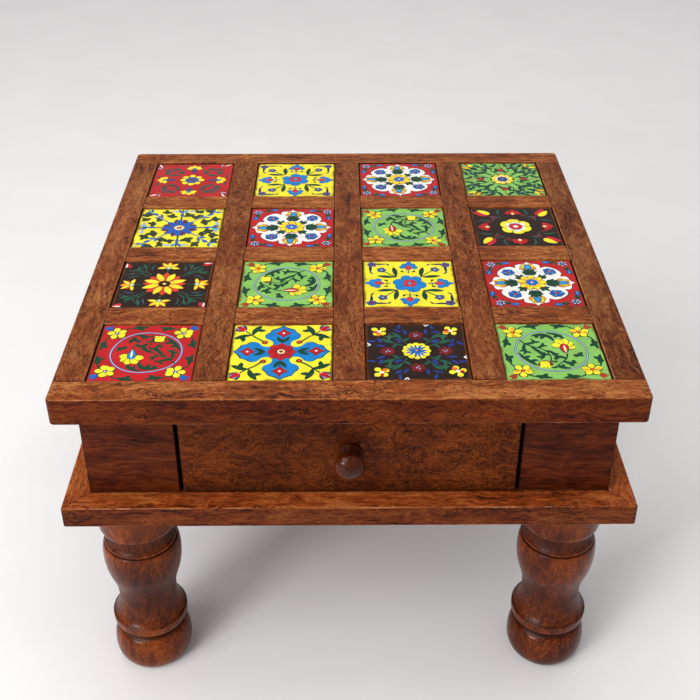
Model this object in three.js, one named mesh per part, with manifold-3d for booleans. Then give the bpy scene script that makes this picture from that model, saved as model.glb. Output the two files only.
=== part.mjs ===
// Low wooden table with a tiled top, one shallow drawer and four turned legs.
// Millimetres, +Z up, front towards -Y. The floor is z = 0.
// The origin is the middle of the footprint on the floor, with the drawer's knob counted in.

import * as THREE from "three";
import { mergeVertices } from "three/addons/utils/BufferGeometryUtils.js";
import Module from "manifold-3d";

const wasm = await Module();
wasm.setup();

// Tiles
const tile_rows = 4;
const tile_columns = 4;
const tile_side = 75;
const tile_thickness = 8;
const tile_corner_radius = 1.8;
const tile_edge_ease = 0.8;
const tile_gap = 0.75;
const tile_recess = 1.2;
const tile_bed = 0.3;

// Wooden top, round and under the tiles
const rail_width = 22.8;
const bar_width = 22.8;
const panel_thickness = 12.3;
const panel_pocket_depth = 8;
const top_corner_radius = 3.5;
const top_edge_ease = 1.4;
const grid_edge_ease = 0.5;
const rail_tenon_length = 10;
const rail_tenon_width = 7;
const rail_tenon_height = 9;

// Carcase between the top and the base
const carcase_inset = 16;
const carcase_height = 75;
const side_thickness = 15;
const stile_width = 67.5;
const stile_thickness = 16;
const stile_edge_ease = 0.8;
const stile_tongue_thickness = 5;
const stile_tongue_length = 6;
const back_thickness = 12;
const back_rebate = 8;

// Mitred base frame and the board inside it
const base_overhang = 18.5;
const base_rail_width = 22;
const base_thickness = 18;
const base_corner_radius = 1.5;
const base_edge_ease = 1.2;
const mitre_gap = 0.35;
const board_tongue_thickness = 6;
const board_tongue_length = 6;

// Turned legs, with heights measured up from the floor
const leg_length = 170;
const leg_inset_side = 47;
const leg_inset_front = 38;
const foot_flat_radius = 22;
const bun_radius = 31;
const bun_widest_height = 17;
const bun_top_radius = 24.8;
const bun_top_height = 35.6;
const foot_groove_radius = 24.6;
const foot_groove_height = 36.6;
const ring_foot_radius = 27.4;
const ring_foot_height = 38.2;
const ring_radius = 29.4;
const ring_widest_height = 41.4;
const ring_edge_height = 44;
const ring_top_radius = 28.2;
const ring_top_height = 46;
const waist_radius = 22.9;
const waist_height = 62;
const shoulder_radius = 30.3;
const shoulder_widest_height = 113.5;
const shoulder_top_radius = 28;
const shoulder_top_height = 124.8;
const bead_groove_radius = 26.6;
const bead_groove_height = 126;
const bead_radius = 27.5;
const bead_low_height = 127;
const bead_high_height = 128;
const neck_foot_radius = 26;
const neck_foot_height = 129.2;
const neck_radius = 25;
const neck_height = 137;
const neck_top_radius = 25.6;
const neck_top_height = 140.6;
const collar_foot_radius = 28.2;
const collar_foot_height = 141.3;
const collar_radius = 30.7;
const collar_round_height = 146.4;
const collar_edge_ease = 0.8;
const spigot_radius = 12;
const spigot_length = 13;
const spigot_end_gap = 1;
const leg_facets = 24;

// Drawer, and the strips that guide it
const drawer_side_gap = 2.6;
const drawer_top_gap = 1.2;
const drawer_foot_gap = 0.8;
const drawer_proud = 1;
const drawer_front_thickness = 16;
const drawer_front_ease = 1.2;
const drawer_front_corner_radius = 1.8;
const drawer_side_setback = 1.5;
const drawer_side_thickness = 10;
const drawer_side_height = 60;
const drawer_housing_depth = 5;
const drawer_back_thickness = 10;
const drawer_back_setback = 8;
const drawer_rear_gap = 14;
const drawer_bottom_thickness = 4;
const drawer_bottom_lift = 7;
const drawer_groove_depth = 4;
const drawer_running_gap = 0.6;
const guide_width = 14;
const guide_height = 22;
const guide_gap = 1;

// Turned knob, with lengths measured out from the drawer's face
const knob_drop = 37;
const knob_base_radius = 9.2;
const knob_base_edge = 1.4;
const knob_lip_radius = 8.4;
const knob_lip_length = 2.4;
const knob_neck_radius = 5.2;
const knob_neck_length = 7.6;
const knob_cup_radius = 8.2;
const knob_cup_length = 11.2;
const knob_head_radius = 10.7;
const knob_head_widest = 16.6;
const knob_mark_rim_radius = 3;
const knob_length = 23.6;
const knob_mark_radius = 2.3;
const knob_mark_depth = 0.6;
const knob_spigot_radius = 4;
const knob_spigot_length = 9;
const knob_facets = 18;

// Fits
const glue_line = 0.1;
const turned_gap = 0.3;
const joint_clearance = 0.3;
const overrun = 5;

// Colours
const wood_top = 0x6f3418;
const wood_body = 0x5a2613;
const wood_leg = 0x4e2010;
const wood_inside = 0x9a7350;
const red = 0xb4202a;
const yellow = 0xf0cf1f;
const green = 0x5f9a4a;
const black = 0x1d1512;
const tile_colours = [
  [red, yellow, red, green],
  [yellow, red, green, black],
  [black, green, yellow, red],
  [red, yellow, black, green],
];

// Shape of the curves, and how many straight steps each one takes
const quarter_round_share = 0.5523;
const sweep_share = 0.5;
const curve_steps = 3;
const arris_steps = 2;
const tile_arris_steps = 1;
const quarter_turn = Math.PI / 2;

// Heights
const bar_height = tile_bed + tile_thickness + tile_recess;
const top_thickness = panel_thickness + bar_height;
const base_top = leg_length + base_thickness;
const top_underside = base_top + carcase_height;
const panel_top = top_underside + panel_thickness;
const top_surface = top_underside + top_thickness;

// Half widths along X and half depths along Y
const opening = tile_side + 2 * tile_gap;
const pitch = opening + bar_width;
const grid_x = (tile_columns * pitch - bar_width) / 2;
const grid_y = (tile_rows * pitch - bar_width) / 2;
const top_x = grid_x + rail_width;
const top_y = grid_y + rail_width;
const pocket_x = grid_x + panel_pocket_depth;
const pocket_y = grid_y + panel_pocket_depth;
const carcase_x = top_x - carcase_inset;
const carcase_y = top_y - carcase_inset;
const base_x = carcase_x + base_overhang;
const base_y = carcase_y + base_overhang;
const board_x = base_x - base_rail_width;
const board_y = base_y - base_rail_width;

// The knob reaches past the base, so the table stands back by half of that reach
const drawer_face_y = -carcase_y - drawer_proud;
const knob_tip_y = drawer_face_y - turned_gap - knob_length;
const table = new THREE.Group();
table.position.y = Math.max(0, -base_y - knob_tip_y) / 2;

// Adds one named piece to the table, in a material of its own
function add(name, geometry, color, roughness) {
  const material = new THREE.MeshStandardMaterial({ color, roughness, metalness: 0 });
  const mesh = new THREE.Mesh(geometry, material);
  mesh.name = name;
  table.add(mesh);
  return mesh;
}

// Turns a closed geometry into a solid that can be joined and cut
function solid(geometry) {
  const bare = geometry.clone();
  bare.deleteAttribute("normal");
  bare.deleteAttribute("uv");
  const merged = mergeVertices(bare);
  const vertProperties = new Float32Array(merged.attributes.position.array);
  const triVerts = new Uint32Array(merged.index.array);
  return new wasm.Manifold(new wasm.Mesh({ numProp: 3, vertProperties, triVerts }));
}

// Turns a joined or cut solid back into a geometry
function geometryOf(shaped) {
  const { vertProperties, triVerts } = shaped.getMesh();
  const geometry = new THREE.BufferGeometry();
  geometry.setAttribute("position", new THREE.BufferAttribute(new Float32Array(vertProperties), 3));
  geometry.setIndex(new THREE.BufferAttribute(new Uint32Array(triVerts), 1));
  geometry.computeVertexNormals();
  return geometry;
}

// A square-edged block between two corners
function block([x0, y0, z0], [x1, y1, z1]) {
  const geometry = new THREE.BoxGeometry(Math.abs(x1 - x0), Math.abs(y1 - y0), Math.abs(z1 - z0));
  geometry.translate((x0 + x1) / 2, (y0 + y1) / 2, (z0 + z1) / 2);
  return geometry;
}

// An outline drawn on the floor, raised to stand between two heights
function upright(shape, low, high) {
  const geometry = new THREE.ExtrudeGeometry(shape, {
    depth: high - low,
    bevelEnabled: false,
    curveSegments: arris_steps,
  });
  geometry.translate(0, 0, low);
  return geometry;
}

// A rectangle with rounded corners, centred on the origin
function roundedRectangle(half_width, half_depth, radius) {
  const shape = new THREE.Shape();
  shape.absarc(half_width - radius, -half_depth + radius, radius, -quarter_turn, 0);
  shape.absarc(half_width - radius, half_depth - radius, radius, 0, quarter_turn);
  shape.absarc(-half_width + radius, half_depth - radius, radius, quarter_turn, 2 * quarter_turn);
  shape.absarc(-half_width + radius, -half_depth + radius, radius, 2 * quarter_turn, 3 * quarter_turn);
  return shape;
}

// A slab with its arrises eased above and below, and its underside at z = 0
function easedSlab(shape, thickness, ease, steps = arris_steps) {
  const geometry = new THREE.ExtrudeGeometry(shape, {
    depth: thickness - 2 * ease,
    bevelThickness: ease,
    bevelSize: ease,
    bevelOffset: -ease,
    bevelSegments: steps,
    curveSegments: curve_steps,
  });
  geometry.translate(0, 0, ease);
  return geometry;
}

// A wooden bar along Y with both top arrises eased, centred on the origin and standing on z = 0
function bar(width, length, height, ease) {
  const half = width / 2;
  const shape = new THREE.Shape();
  shape.moveTo(-half, 0);
  shape.lineTo(half, 0);
  shape.lineTo(half, height - ease);
  shape.quadraticCurveTo(half, height, half - ease, height);
  shape.lineTo(-half + ease, height);
  shape.quadraticCurveTo(-half, height, -half, height - ease);
  const geometry = upright(shape, -length / 2, length / 2);
  geometry.rotateX(quarter_turn);
  return geometry;
}

// A tool that takes the sharp arris off an edge along Y
function arrisTool(length, ease) {
  const side = ease * Math.SQRT2;
  const geometry = new THREE.BoxGeometry(side, length, side);
  geometry.rotateY(quarter_turn / 2);
  return geometry;
}

// A turned profile's quarter round that sets off along the axis and arrives square to it
function roundIn(path, radius, height) {
  const { x, y } = path.currentPoint;
  const lead = y + (height - y) * quarter_round_share;
  const trail = radius - (radius - x) * quarter_round_share;
  path.bezierCurveTo(x, lead, trail, height, radius, height);
}

// A turned profile's quarter round that sets off square to the axis and arrives along it
function roundOut(path, radius, height) {
  const { x, y } = path.currentPoint;
  const lead = x + (radius - x) * quarter_round_share;
  const trail = height - (height - y) * quarter_round_share;
  path.bezierCurveTo(lead, y, radius, trail, radius, height);
}

// A turned profile's long sweep that sets off and arrives along the axis
function sweep(path, radius, height) {
  const { x, y } = path.currentPoint;
  const step = (height - y) * sweep_share;
  path.bezierCurveTo(x, y + step, radius, height - step, radius, height);
}

// The four edges of the table, found by turning the left one about the middle
const edges = [
  { side: "left", turn: 0, out: [top_x, base_x], along: [top_y, base_y] },
  { side: "front", turn: 1, out: [top_y, base_y], along: [top_x, base_x] },
  { side: "right", turn: 2, out: [top_x, base_x], along: [top_y, base_y] },
  { side: "back", turn: 3, out: [top_y, base_y], along: [top_x, base_x] },
];

// Tiled top
function tiledTop() {
  const low = [-pocket_x + joint_clearance, -pocket_y + joint_clearance, top_underside];
  const high = [pocket_x - joint_clearance, pocket_y - joint_clearance, panel_top - glue_line];
  add("top_panel", block(low, high), wood_inside, 0.7);
  topRails();
  topBars();
  tiles();
}

// A long tenon bar through a side rail: grown by a clearance, it cuts the mortises
function tenonBar(side, clearance) {
  const middle = side * (top_x - (rail_width - panel_pocket_depth) / 2);
  const half = rail_tenon_width / 2 + clearance;
  const reach = grid_y + rail_tenon_length + clearance;
  const centre = top_underside + top_thickness / 2;
  const rise = rail_tenon_height / 2 + clearance;
  return solid(block([middle - half, -reach, centre - rise], [middle + half, reach, centre + rise]));
}

// Outer rails: front and back run the full width, and the side rails are tenoned between them
function topRails() {
  const slab = easedSlab(roundedRectangle(top_x, top_y, top_corner_radius), top_thickness, top_edge_ease);
  slab.translate(0, 0, top_underside);
  const outer_form = solid(slab);
  const pocket = solid(
    block([-pocket_x, -pocket_y, top_underside - overrun], [pocket_x, pocket_y, panel_top]),
  );
  for (const { side, turn, out, along } of edges) {
    const full_length = turn % 2 === 1;
    const inner = out[0] - rail_width;
    const end = full_length ? along[0] + overrun : grid_y - glue_line;
    const raw = block(
      [-out[0] - overrun, -end, top_underside - overrun],
      [-inner, end, top_surface + overrun],
    );
    const arris = arrisTool(2 * (end + overrun), grid_edge_ease);
    arris.translate(-inner, 0, top_surface);
    let rail = solid(raw.rotateZ(turn * quarter_turn)).intersect(outer_form).subtract(pocket);
    rail = rail.subtract(solid(arris.rotateZ(turn * quarter_turn)));
    if (full_length) {
      rail = rail.subtract(tenonBar(-1, joint_clearance)).subtract(tenonBar(1, joint_clearance));
    } else {
      rail = rail.add(tenonBar(turn === 0 ? -1 : 1, 0));
    }
    add("top_rail_" + side, geometryOf(rail), wood_top, 0.36);
  }
}

// Grid bars: long ones from front to back, and short ones between them
function topBars() {
  const long_bar = bar(bar_width, 2 * (grid_y - glue_line), bar_height, grid_edge_ease);
  const short_bar = bar(bar_width, opening - 2 * glue_line, bar_height, grid_edge_ease);
  short_bar.rotateZ(quarter_turn);
  for (let column = 1; column < tile_columns; column += 1) {
    const piece = add("top_bar_" + column, long_bar, wood_top, 0.36);
    piece.position.set(column * pitch - bar_width / 2 - grid_x, 0, panel_top);
  }
  for (let row = 1; row < tile_rows; row += 1) {
    for (let column = 1; column <= tile_columns; column += 1) {
      const piece = add("crossbar_" + row + "_" + column, short_bar, wood_top, 0.36);
      const x = column * pitch - bar_width - opening / 2 - grid_x;
      piece.position.set(x, grid_y - row * pitch + bar_width / 2, panel_top);
    }
  }
}

// Glazed tiles, counted from the back left, bedded on the panel a little below the wood
function tiles() {
  const outline = roundedRectangle(tile_side / 2, tile_side / 2, tile_corner_radius);
  const tile = easedSlab(outline, tile_thickness, tile_edge_ease, tile_arris_steps);
  for (let row = 1; row <= tile_rows; row += 1) {
    for (let column = 1; column <= tile_columns; column += 1) {
      const shades = tile_colours[(row - 1) % tile_colours.length];
      const shade = shades[(column - 1) % shades.length];
      const piece = add("tile_" + row + "_" + column, tile, shade, 0.12);
      const x = column * pitch - bar_width - opening / 2 - grid_x;
      const y = grid_y - row * pitch + bar_width + opening / 2;
      piece.position.set(x, y, panel_top + tile_bed);
    }
  }
}

// Carcase: two front stiles, tongued sides and a rebated back, standing on the base
function carcase() {
  const low = base_top + glue_line;
  const high = top_underside - glue_line;
  const face = -carcase_y;
  const rear = face + stile_thickness;
  const tongue = stile_tongue_thickness / 2;
  for (const [name, hand] of [["left", -1], ["right", 1]]) {
    const outer = hand * carcase_x;
    const inner = hand * (carcase_x - stile_width);
    const ease = hand * stile_edge_ease;
    const middle = hand * (carcase_x - side_thickness / 2);
    const groove = hand * (tongue + joint_clearance);
    const stile = new THREE.Shape();
    stile.moveTo(inner, rear);
    stile.lineTo(inner, face + stile_edge_ease);
    stile.quadraticCurveTo(inner, face, inner + ease, face);
    stile.lineTo(outer - ease, face);
    stile.quadraticCurveTo(outer, face, outer, face + stile_edge_ease);
    stile.lineTo(outer, rear);
    stile.lineTo(middle + groove, rear);
    stile.lineTo(middle + groove, rear - stile_tongue_length);
    stile.lineTo(middle - groove, rear - stile_tongue_length);
    stile.lineTo(middle - groove, rear);
    add("front_stile_" + name, upright(stile, low, high), wood_body, 0.42);

    const start = rear + glue_line;
    const tip = rear - stile_tongue_length + joint_clearance;
    const wall = hand * (carcase_x - side_thickness);
    const rebate = hand * (carcase_x - side_thickness + back_rebate);
    const shoulder = carcase_y - back_thickness - glue_line;
    const board = new THREE.Shape();
    board.moveTo(outer, start);
    board.lineTo(outer, carcase_y);
    board.lineTo(rebate, carcase_y);
    board.lineTo(rebate, shoulder);
    board.lineTo(wall, shoulder);
    board.lineTo(wall, start);
    board.lineTo(middle - hand * tongue, start);
    board.lineTo(middle - hand * tongue, tip);
    board.lineTo(middle + hand * tongue, tip);
    board.lineTo(middle + hand * tongue, start);
    add("carcase_side_" + name, upright(board, low, high), wood_body, 0.42);
  }
  const back_x = carcase_x - side_thickness + back_rebate - glue_line;
  const back = block([-back_x, carcase_y - back_thickness, low], [back_x, carcase_y, high]);
  add("carcase_back", back, wood_body, 0.5);
}

// Base: four mitred rails grooved round a tongued board that closes the drawer's space
function base() {
  const slab = easedSlab(roundedRectangle(base_x, base_y, base_corner_radius), base_thickness, base_edge_ease);
  slab.translate(0, 0, leg_length);
  const outer_form = solid(slab);
  const middle = leg_length + base_thickness / 2;
  const rise = board_tongue_thickness / 2;
  const tongue_x = board_x + board_tongue_length;
  const tongue_y = board_y + board_tongue_length;
  const groove = solid(
    block(
      [-tongue_x - joint_clearance, -tongue_y - joint_clearance, middle - rise - joint_clearance],
      [tongue_x + joint_clearance, tongue_y + joint_clearance, middle + rise + joint_clearance],
    ),
  );
  const reach = base_rail_width + overrun;
  const shift = mitre_gap * Math.SQRT1_2;
  for (const { side, turn, out, along } of edges) {
    const inner = base_rail_width - out[1];
    const end = along[1] - base_rail_width - shift;
    const mitred = new THREE.Shape();
    mitred.moveTo(inner, -end);
    mitred.lineTo(inner, end);
    mitred.lineTo(inner - reach, end + reach);
    mitred.lineTo(inner - reach, -end - reach);
    const raw = upright(mitred, leg_length - overrun, base_top + overrun);
    const rail = solid(raw.rotateZ(turn * quarter_turn)).intersect(outer_form).subtract(groove);
    add("base_rail_" + side, geometryOf(rail), wood_top, 0.38);
  }

  const edge_x = board_x - glue_line;
  const edge_y = board_y - glue_line;
  let board = solid(block([-edge_x, -edge_y, leg_length], [edge_x, edge_y, base_top]));
  board = board.add(
    solid(block([-tongue_x, -tongue_y, middle - rise], [tongue_x, tongue_y, middle + rise])),
  );
  const bore_radius = spigot_radius + joint_clearance;
  const bore_depth = spigot_length + spigot_end_gap;
  for (const { x, y } of legPlaces()) {
    const bore = new THREE.CylinderGeometry(bore_radius, bore_radius, bore_depth + overrun, leg_facets);
    bore.rotateX(quarter_turn);
    bore.translate(x, y, leg_length + (bore_depth - overrun) / 2);
    board = board.subtract(solid(bore));
  }
  add("base_board", geometryOf(board), wood_body, 0.55);
}

// The legs stand near the corners of the base
function legPlaces() {
  const x = base_x - leg_inset_side;
  const y = base_y - leg_inset_front;
  return [
    { name: "leg_front_left", x: -x, y: -y },
    { name: "leg_front_right", x, y: -y },
    { name: "leg_back_left", x: -x, y },
    { name: "leg_back_right", x, y },
  ];
}

// Turned legs: bun foot, lipped ring under a cove, waist, shoulder, bead, neck and collar, with a spigot
function legs() {
  const seat = leg_length - turned_gap;
  const outline = new THREE.Path();
  outline.moveTo(0, 0);
  outline.lineTo(foot_flat_radius, 0);
  roundOut(outline, bun_radius, bun_widest_height);
  roundIn(outline, bun_top_radius, bun_top_height);
  outline.lineTo(foot_groove_radius, foot_groove_height);
  outline.lineTo(ring_foot_radius, ring_foot_height);
  roundOut(outline, ring_radius, ring_widest_height);
  outline.lineTo(ring_radius, ring_edge_height);
  outline.lineTo(ring_top_radius, ring_top_height);
  roundOut(outline, waist_radius, waist_height);
  sweep(outline, shoulder_radius, shoulder_widest_height);
  roundIn(outline, shoulder_top_radius, shoulder_top_height);
  outline.lineTo(bead_groove_radius, bead_groove_height);
  outline.lineTo(bead_radius, bead_low_height);
  outline.lineTo(bead_radius, bead_high_height);
  outline.lineTo(neck_foot_radius, neck_foot_height);
  sweep(outline, neck_radius, neck_height);
  outline.lineTo(neck_top_radius, neck_top_height);
  outline.lineTo(collar_foot_radius, collar_foot_height);
  roundOut(outline, collar_radius, collar_round_height);
  outline.lineTo(collar_radius, seat - collar_edge_ease);
  outline.lineTo(collar_radius - collar_edge_ease, seat);
  outline.lineTo(spigot_radius, seat);
  outline.lineTo(spigot_radius, seat + spigot_length);
  outline.lineTo(0, seat + spigot_length);
  const turned = new THREE.LatheGeometry(outline.getPoints(curve_steps), leg_facets);
  turned.rotateX(quarter_turn);
  for (const { name, x, y } of legPlaces()) {
    const leg = add(name, turned, wood_leg, 0.34);
    leg.position.set(x, y, 0);
  }
}

// Drawer: a front housed over two sides, a back and a bottom that slides in grooves
function drawer() {
  const front_x = carcase_x - stile_width - drawer_side_gap;
  const front_low = base_top + drawer_foot_gap;
  const front_high = top_underside - drawer_top_gap;
  const front_rear = drawer_face_y + drawer_front_thickness;
  const side_outer = front_x - drawer_side_setback;
  const side_inner = side_outer - drawer_side_thickness;
  const side_low = base_top + drawer_running_gap;
  const side_high = side_low + drawer_side_height;
  const side_front = front_rear - drawer_housing_depth;
  const side_rear = carcase_y - back_thickness - drawer_rear_gap;
  const bottom_low = side_low + drawer_bottom_lift;
  const bottom_high = bottom_low + drawer_bottom_thickness;
  const groove_x = side_inner + drawer_groove_depth;
  const back_rear = side_rear - drawer_back_setback;
  const back_front = back_rear - drawer_back_thickness;
  const knob_z = top_underside - knob_drop;

  const bottom_groove = solid(
    block(
      [-groove_x, front_rear - drawer_groove_depth, bottom_low - joint_clearance],
      [groove_x, side_rear + overrun, bottom_high + joint_clearance],
    ),
  );
  const back_housing = solid(
    block(
      [-side_inner - drawer_housing_depth, back_front - joint_clearance, bottom_low],
      [side_inner + drawer_housing_depth, back_rear + joint_clearance, side_high + overrun],
    ),
  );

  const half_height = (front_high - front_low) / 2;
  const face = easedSlab(
    roundedRectangle(front_x, half_height, drawer_front_corner_radius),
    drawer_front_thickness,
    drawer_front_ease,
  );
  face.rotateX(quarter_turn);
  face.translate(0, front_rear, front_low + half_height);
  const hole_radius = knob_spigot_radius + joint_clearance;
  const hole_depth = knob_spigot_length + joint_clearance;
  const hole = new THREE.CylinderGeometry(hole_radius, hole_radius, hole_depth + overrun, knob_facets);
  hole.translate(0, drawer_face_y + (hole_depth - overrun) / 2, knob_z);
  let front = solid(face).subtract(bottom_groove).subtract(solid(hole));

  for (const [name, hand] of [["left", -1], ["right", 1]]) {
    const housing = block(
      [hand * (side_outer + joint_clearance), side_front, side_low - overrun],
      [hand * (side_inner - joint_clearance), front_rear + overrun, side_high + joint_clearance],
    );
    front = front.subtract(solid(housing));
    const board = block(
      [hand * side_outer, side_front + joint_clearance, side_low],
      [hand * side_inner, side_rear, side_high],
    );
    const side = solid(board).subtract(bottom_groove).subtract(back_housing);
    add("drawer_side_" + name, geometryOf(side), wood_inside, 0.62);
  }
  add("drawer_front", geometryOf(front), wood_body, 0.38);

  const back_x = side_inner + drawer_housing_depth - joint_clearance;
  const back = block(
    [-back_x, back_front, bottom_high + glue_line],
    [back_x, back_rear, side_high],
  );
  add("drawer_back", back, wood_inside, 0.62);

  const bottom_x = groove_x - joint_clearance;
  const bottom = block(
    [-bottom_x, front_rear - drawer_groove_depth + joint_clearance, bottom_low],
    [bottom_x, side_rear, bottom_high],
  );
  add("drawer_bottom", bottom, wood_inside, 0.66);

  const knob = add("drawer_knob", knobForm(), wood_leg, 0.3);
  knob.position.set(0, drawer_face_y - turned_gap, knob_z);

  const guide_x = side_outer + guide_gap;
  for (const [name, hand] of [["left", -1], ["right", 1]]) {
    const guide = block(
      [hand * guide_x, -carcase_y + stile_thickness + glue_line, base_top + glue_line],
      [hand * (guide_x + guide_width), carcase_y - back_thickness - glue_line, base_top + guide_height],
    );
    add("drawer_guide_" + name, guide, wood_inside, 0.66);
  }
}

// Turned knob: a flared base, a neck and a mushroom head with a small turned mark, facing -Y
function knobForm() {
  const outline = new THREE.Path();
  outline.moveTo(0, -knob_spigot_length);
  outline.lineTo(knob_spigot_radius, -knob_spigot_length);
  outline.lineTo(knob_spigot_radius, 0);
  outline.lineTo(knob_base_radius, 0);
  outline.lineTo(knob_base_radius, knob_base_edge);
  roundIn(outline, knob_lip_radius, knob_lip_length);
  roundOut(outline, knob_neck_radius, knob_neck_length);
  roundIn(outline, knob_cup_radius, knob_cup_length);
  roundOut(outline, knob_head_radius, knob_head_widest);
  roundIn(outline, knob_mark_rim_radius, knob_length);
  outline.lineTo(knob_mark_radius, knob_length - knob_mark_depth);
  outline.lineTo(0, knob_length - knob_mark_depth);
  const turned = new THREE.LatheGeometry(outline.getPoints(curve_steps), knob_facets);
  turned.rotateX(2 * quarter_turn);
  return turned;
}

tiledTop();
carcase();
base();
legs();
drawer();

export default table;
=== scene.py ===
# The looks of a low table: stained wood, turned legs and sixteen glazed tiles with raised floral painting.
# Metres, +Z up, front towards -Y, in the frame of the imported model.

import math
import random

import bpy
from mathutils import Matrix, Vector


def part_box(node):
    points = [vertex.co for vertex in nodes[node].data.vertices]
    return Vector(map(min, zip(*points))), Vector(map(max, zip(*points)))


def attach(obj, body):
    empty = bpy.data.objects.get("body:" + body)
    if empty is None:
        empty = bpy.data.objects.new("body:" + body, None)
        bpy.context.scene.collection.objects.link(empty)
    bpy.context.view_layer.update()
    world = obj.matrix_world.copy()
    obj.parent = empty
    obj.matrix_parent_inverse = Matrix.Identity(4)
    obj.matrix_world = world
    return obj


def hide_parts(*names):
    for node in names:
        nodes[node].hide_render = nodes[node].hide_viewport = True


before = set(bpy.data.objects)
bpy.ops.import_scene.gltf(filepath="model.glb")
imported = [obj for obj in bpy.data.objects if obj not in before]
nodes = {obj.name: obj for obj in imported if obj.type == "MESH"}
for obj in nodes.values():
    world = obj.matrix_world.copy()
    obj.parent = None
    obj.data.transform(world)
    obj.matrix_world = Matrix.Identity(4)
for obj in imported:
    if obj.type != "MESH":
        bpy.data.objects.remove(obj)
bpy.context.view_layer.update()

MM = 0.001
TAU = math.tau

# Colours, as seen


def shade(code):
    """The linear colour of a six-digit code."""
    parts = [int(code[i : i + 2], 16) / 255 for i in (0, 2, 4)]
    linear = [p / 12.92 if p <= 0.04045 else ((p + 0.055) / 1.055) ** 2.4 for p in parts]
    return (*linear, 1.0)


GLAZE_CODES = {
    "red": "bf2024", "crimson": "c62832", "dark_red": "7c1c20", "maroon": "6e2126", "wine": "4e1a26",
    "rust": "a8401f", "vermilion": "d8482a", "orange": "e57a26", "yellow": "f9ec34",
    "lemon_shade": "f0b62c", "amber": "d9a62a", "white": "f6f5f0", "cream": "f3ecb8", "mint": "a9c49a",
    "pale_blue": "a8b6da", "lilac": "b4bcd4", "sky": "3f9fd4", "blue": "1681cc", "bright_blue": "1558c8",
    "royal": "2360b4", "deep_blue": "27408c", "navy": "1c2450", "slate_blue": "3f5a86", "slate": "3c6470",
    "slate_green": "4c4a44", "purple": "56406e", "green": "88c462", "leaf": "17442f", "moss": "2f5f48",
    "teal": "1f5c4c", "ivy": "35402c", "ink": "15151c", "black": "2b1b14",
}
PAINTS = {paint: shade(code) for paint, code in GLAZE_CODES.items()}
# The brown of thin glaze, which also stands for the shade in the tile's recess
THIN_GLAZE_AND_SHADE = shade("6e3a1c")
BARE_CLAY = shade("8a5a3c")

# Tones of the woods: shadow, body and light of the figure
TOP_TONES = ("3a1608", "8e441b", "c07b42")
# Darker copies of the top's tones, as painted shade: for the left rail and the bars, and darker still for
# the right rail
SHADED_BAR_TONES = ("301207", "7c3b18", "ab6c3c")
SHADED_RIGHT_TONES = ("2c1106", "713617", "9c6338")
# The carcase's tones are darker than the top's: its own stain, and a painted shade for its vertical faces
BODY_STAIN_AND_SHADE_TONES = ("170603", "421606", "652a0d")
DRAWER_TONES = ("1a0803", "4e1f07", "803c12")
BASE_TONES = ("3c1409", "98431a", "c87438")
TURNED_TONES = ("190602", "4d1b06", "944614")
# A darker copy of the legs' tones, as painted shade on the right legs
SHADED_RIGHT_TURNED_TONES = ("170602", "4a1907", "8a4013")
KNOB_TONES = ("160502", "3c1304", "7c340e")
INNER_TONES = ("5a3a20", "94683c", "b88c58")
# Paler colour of the worn arrises, which also paints a glint of light along them
RUBBED_AND_GLINT = shade("b87c52")


# Nodes


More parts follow.
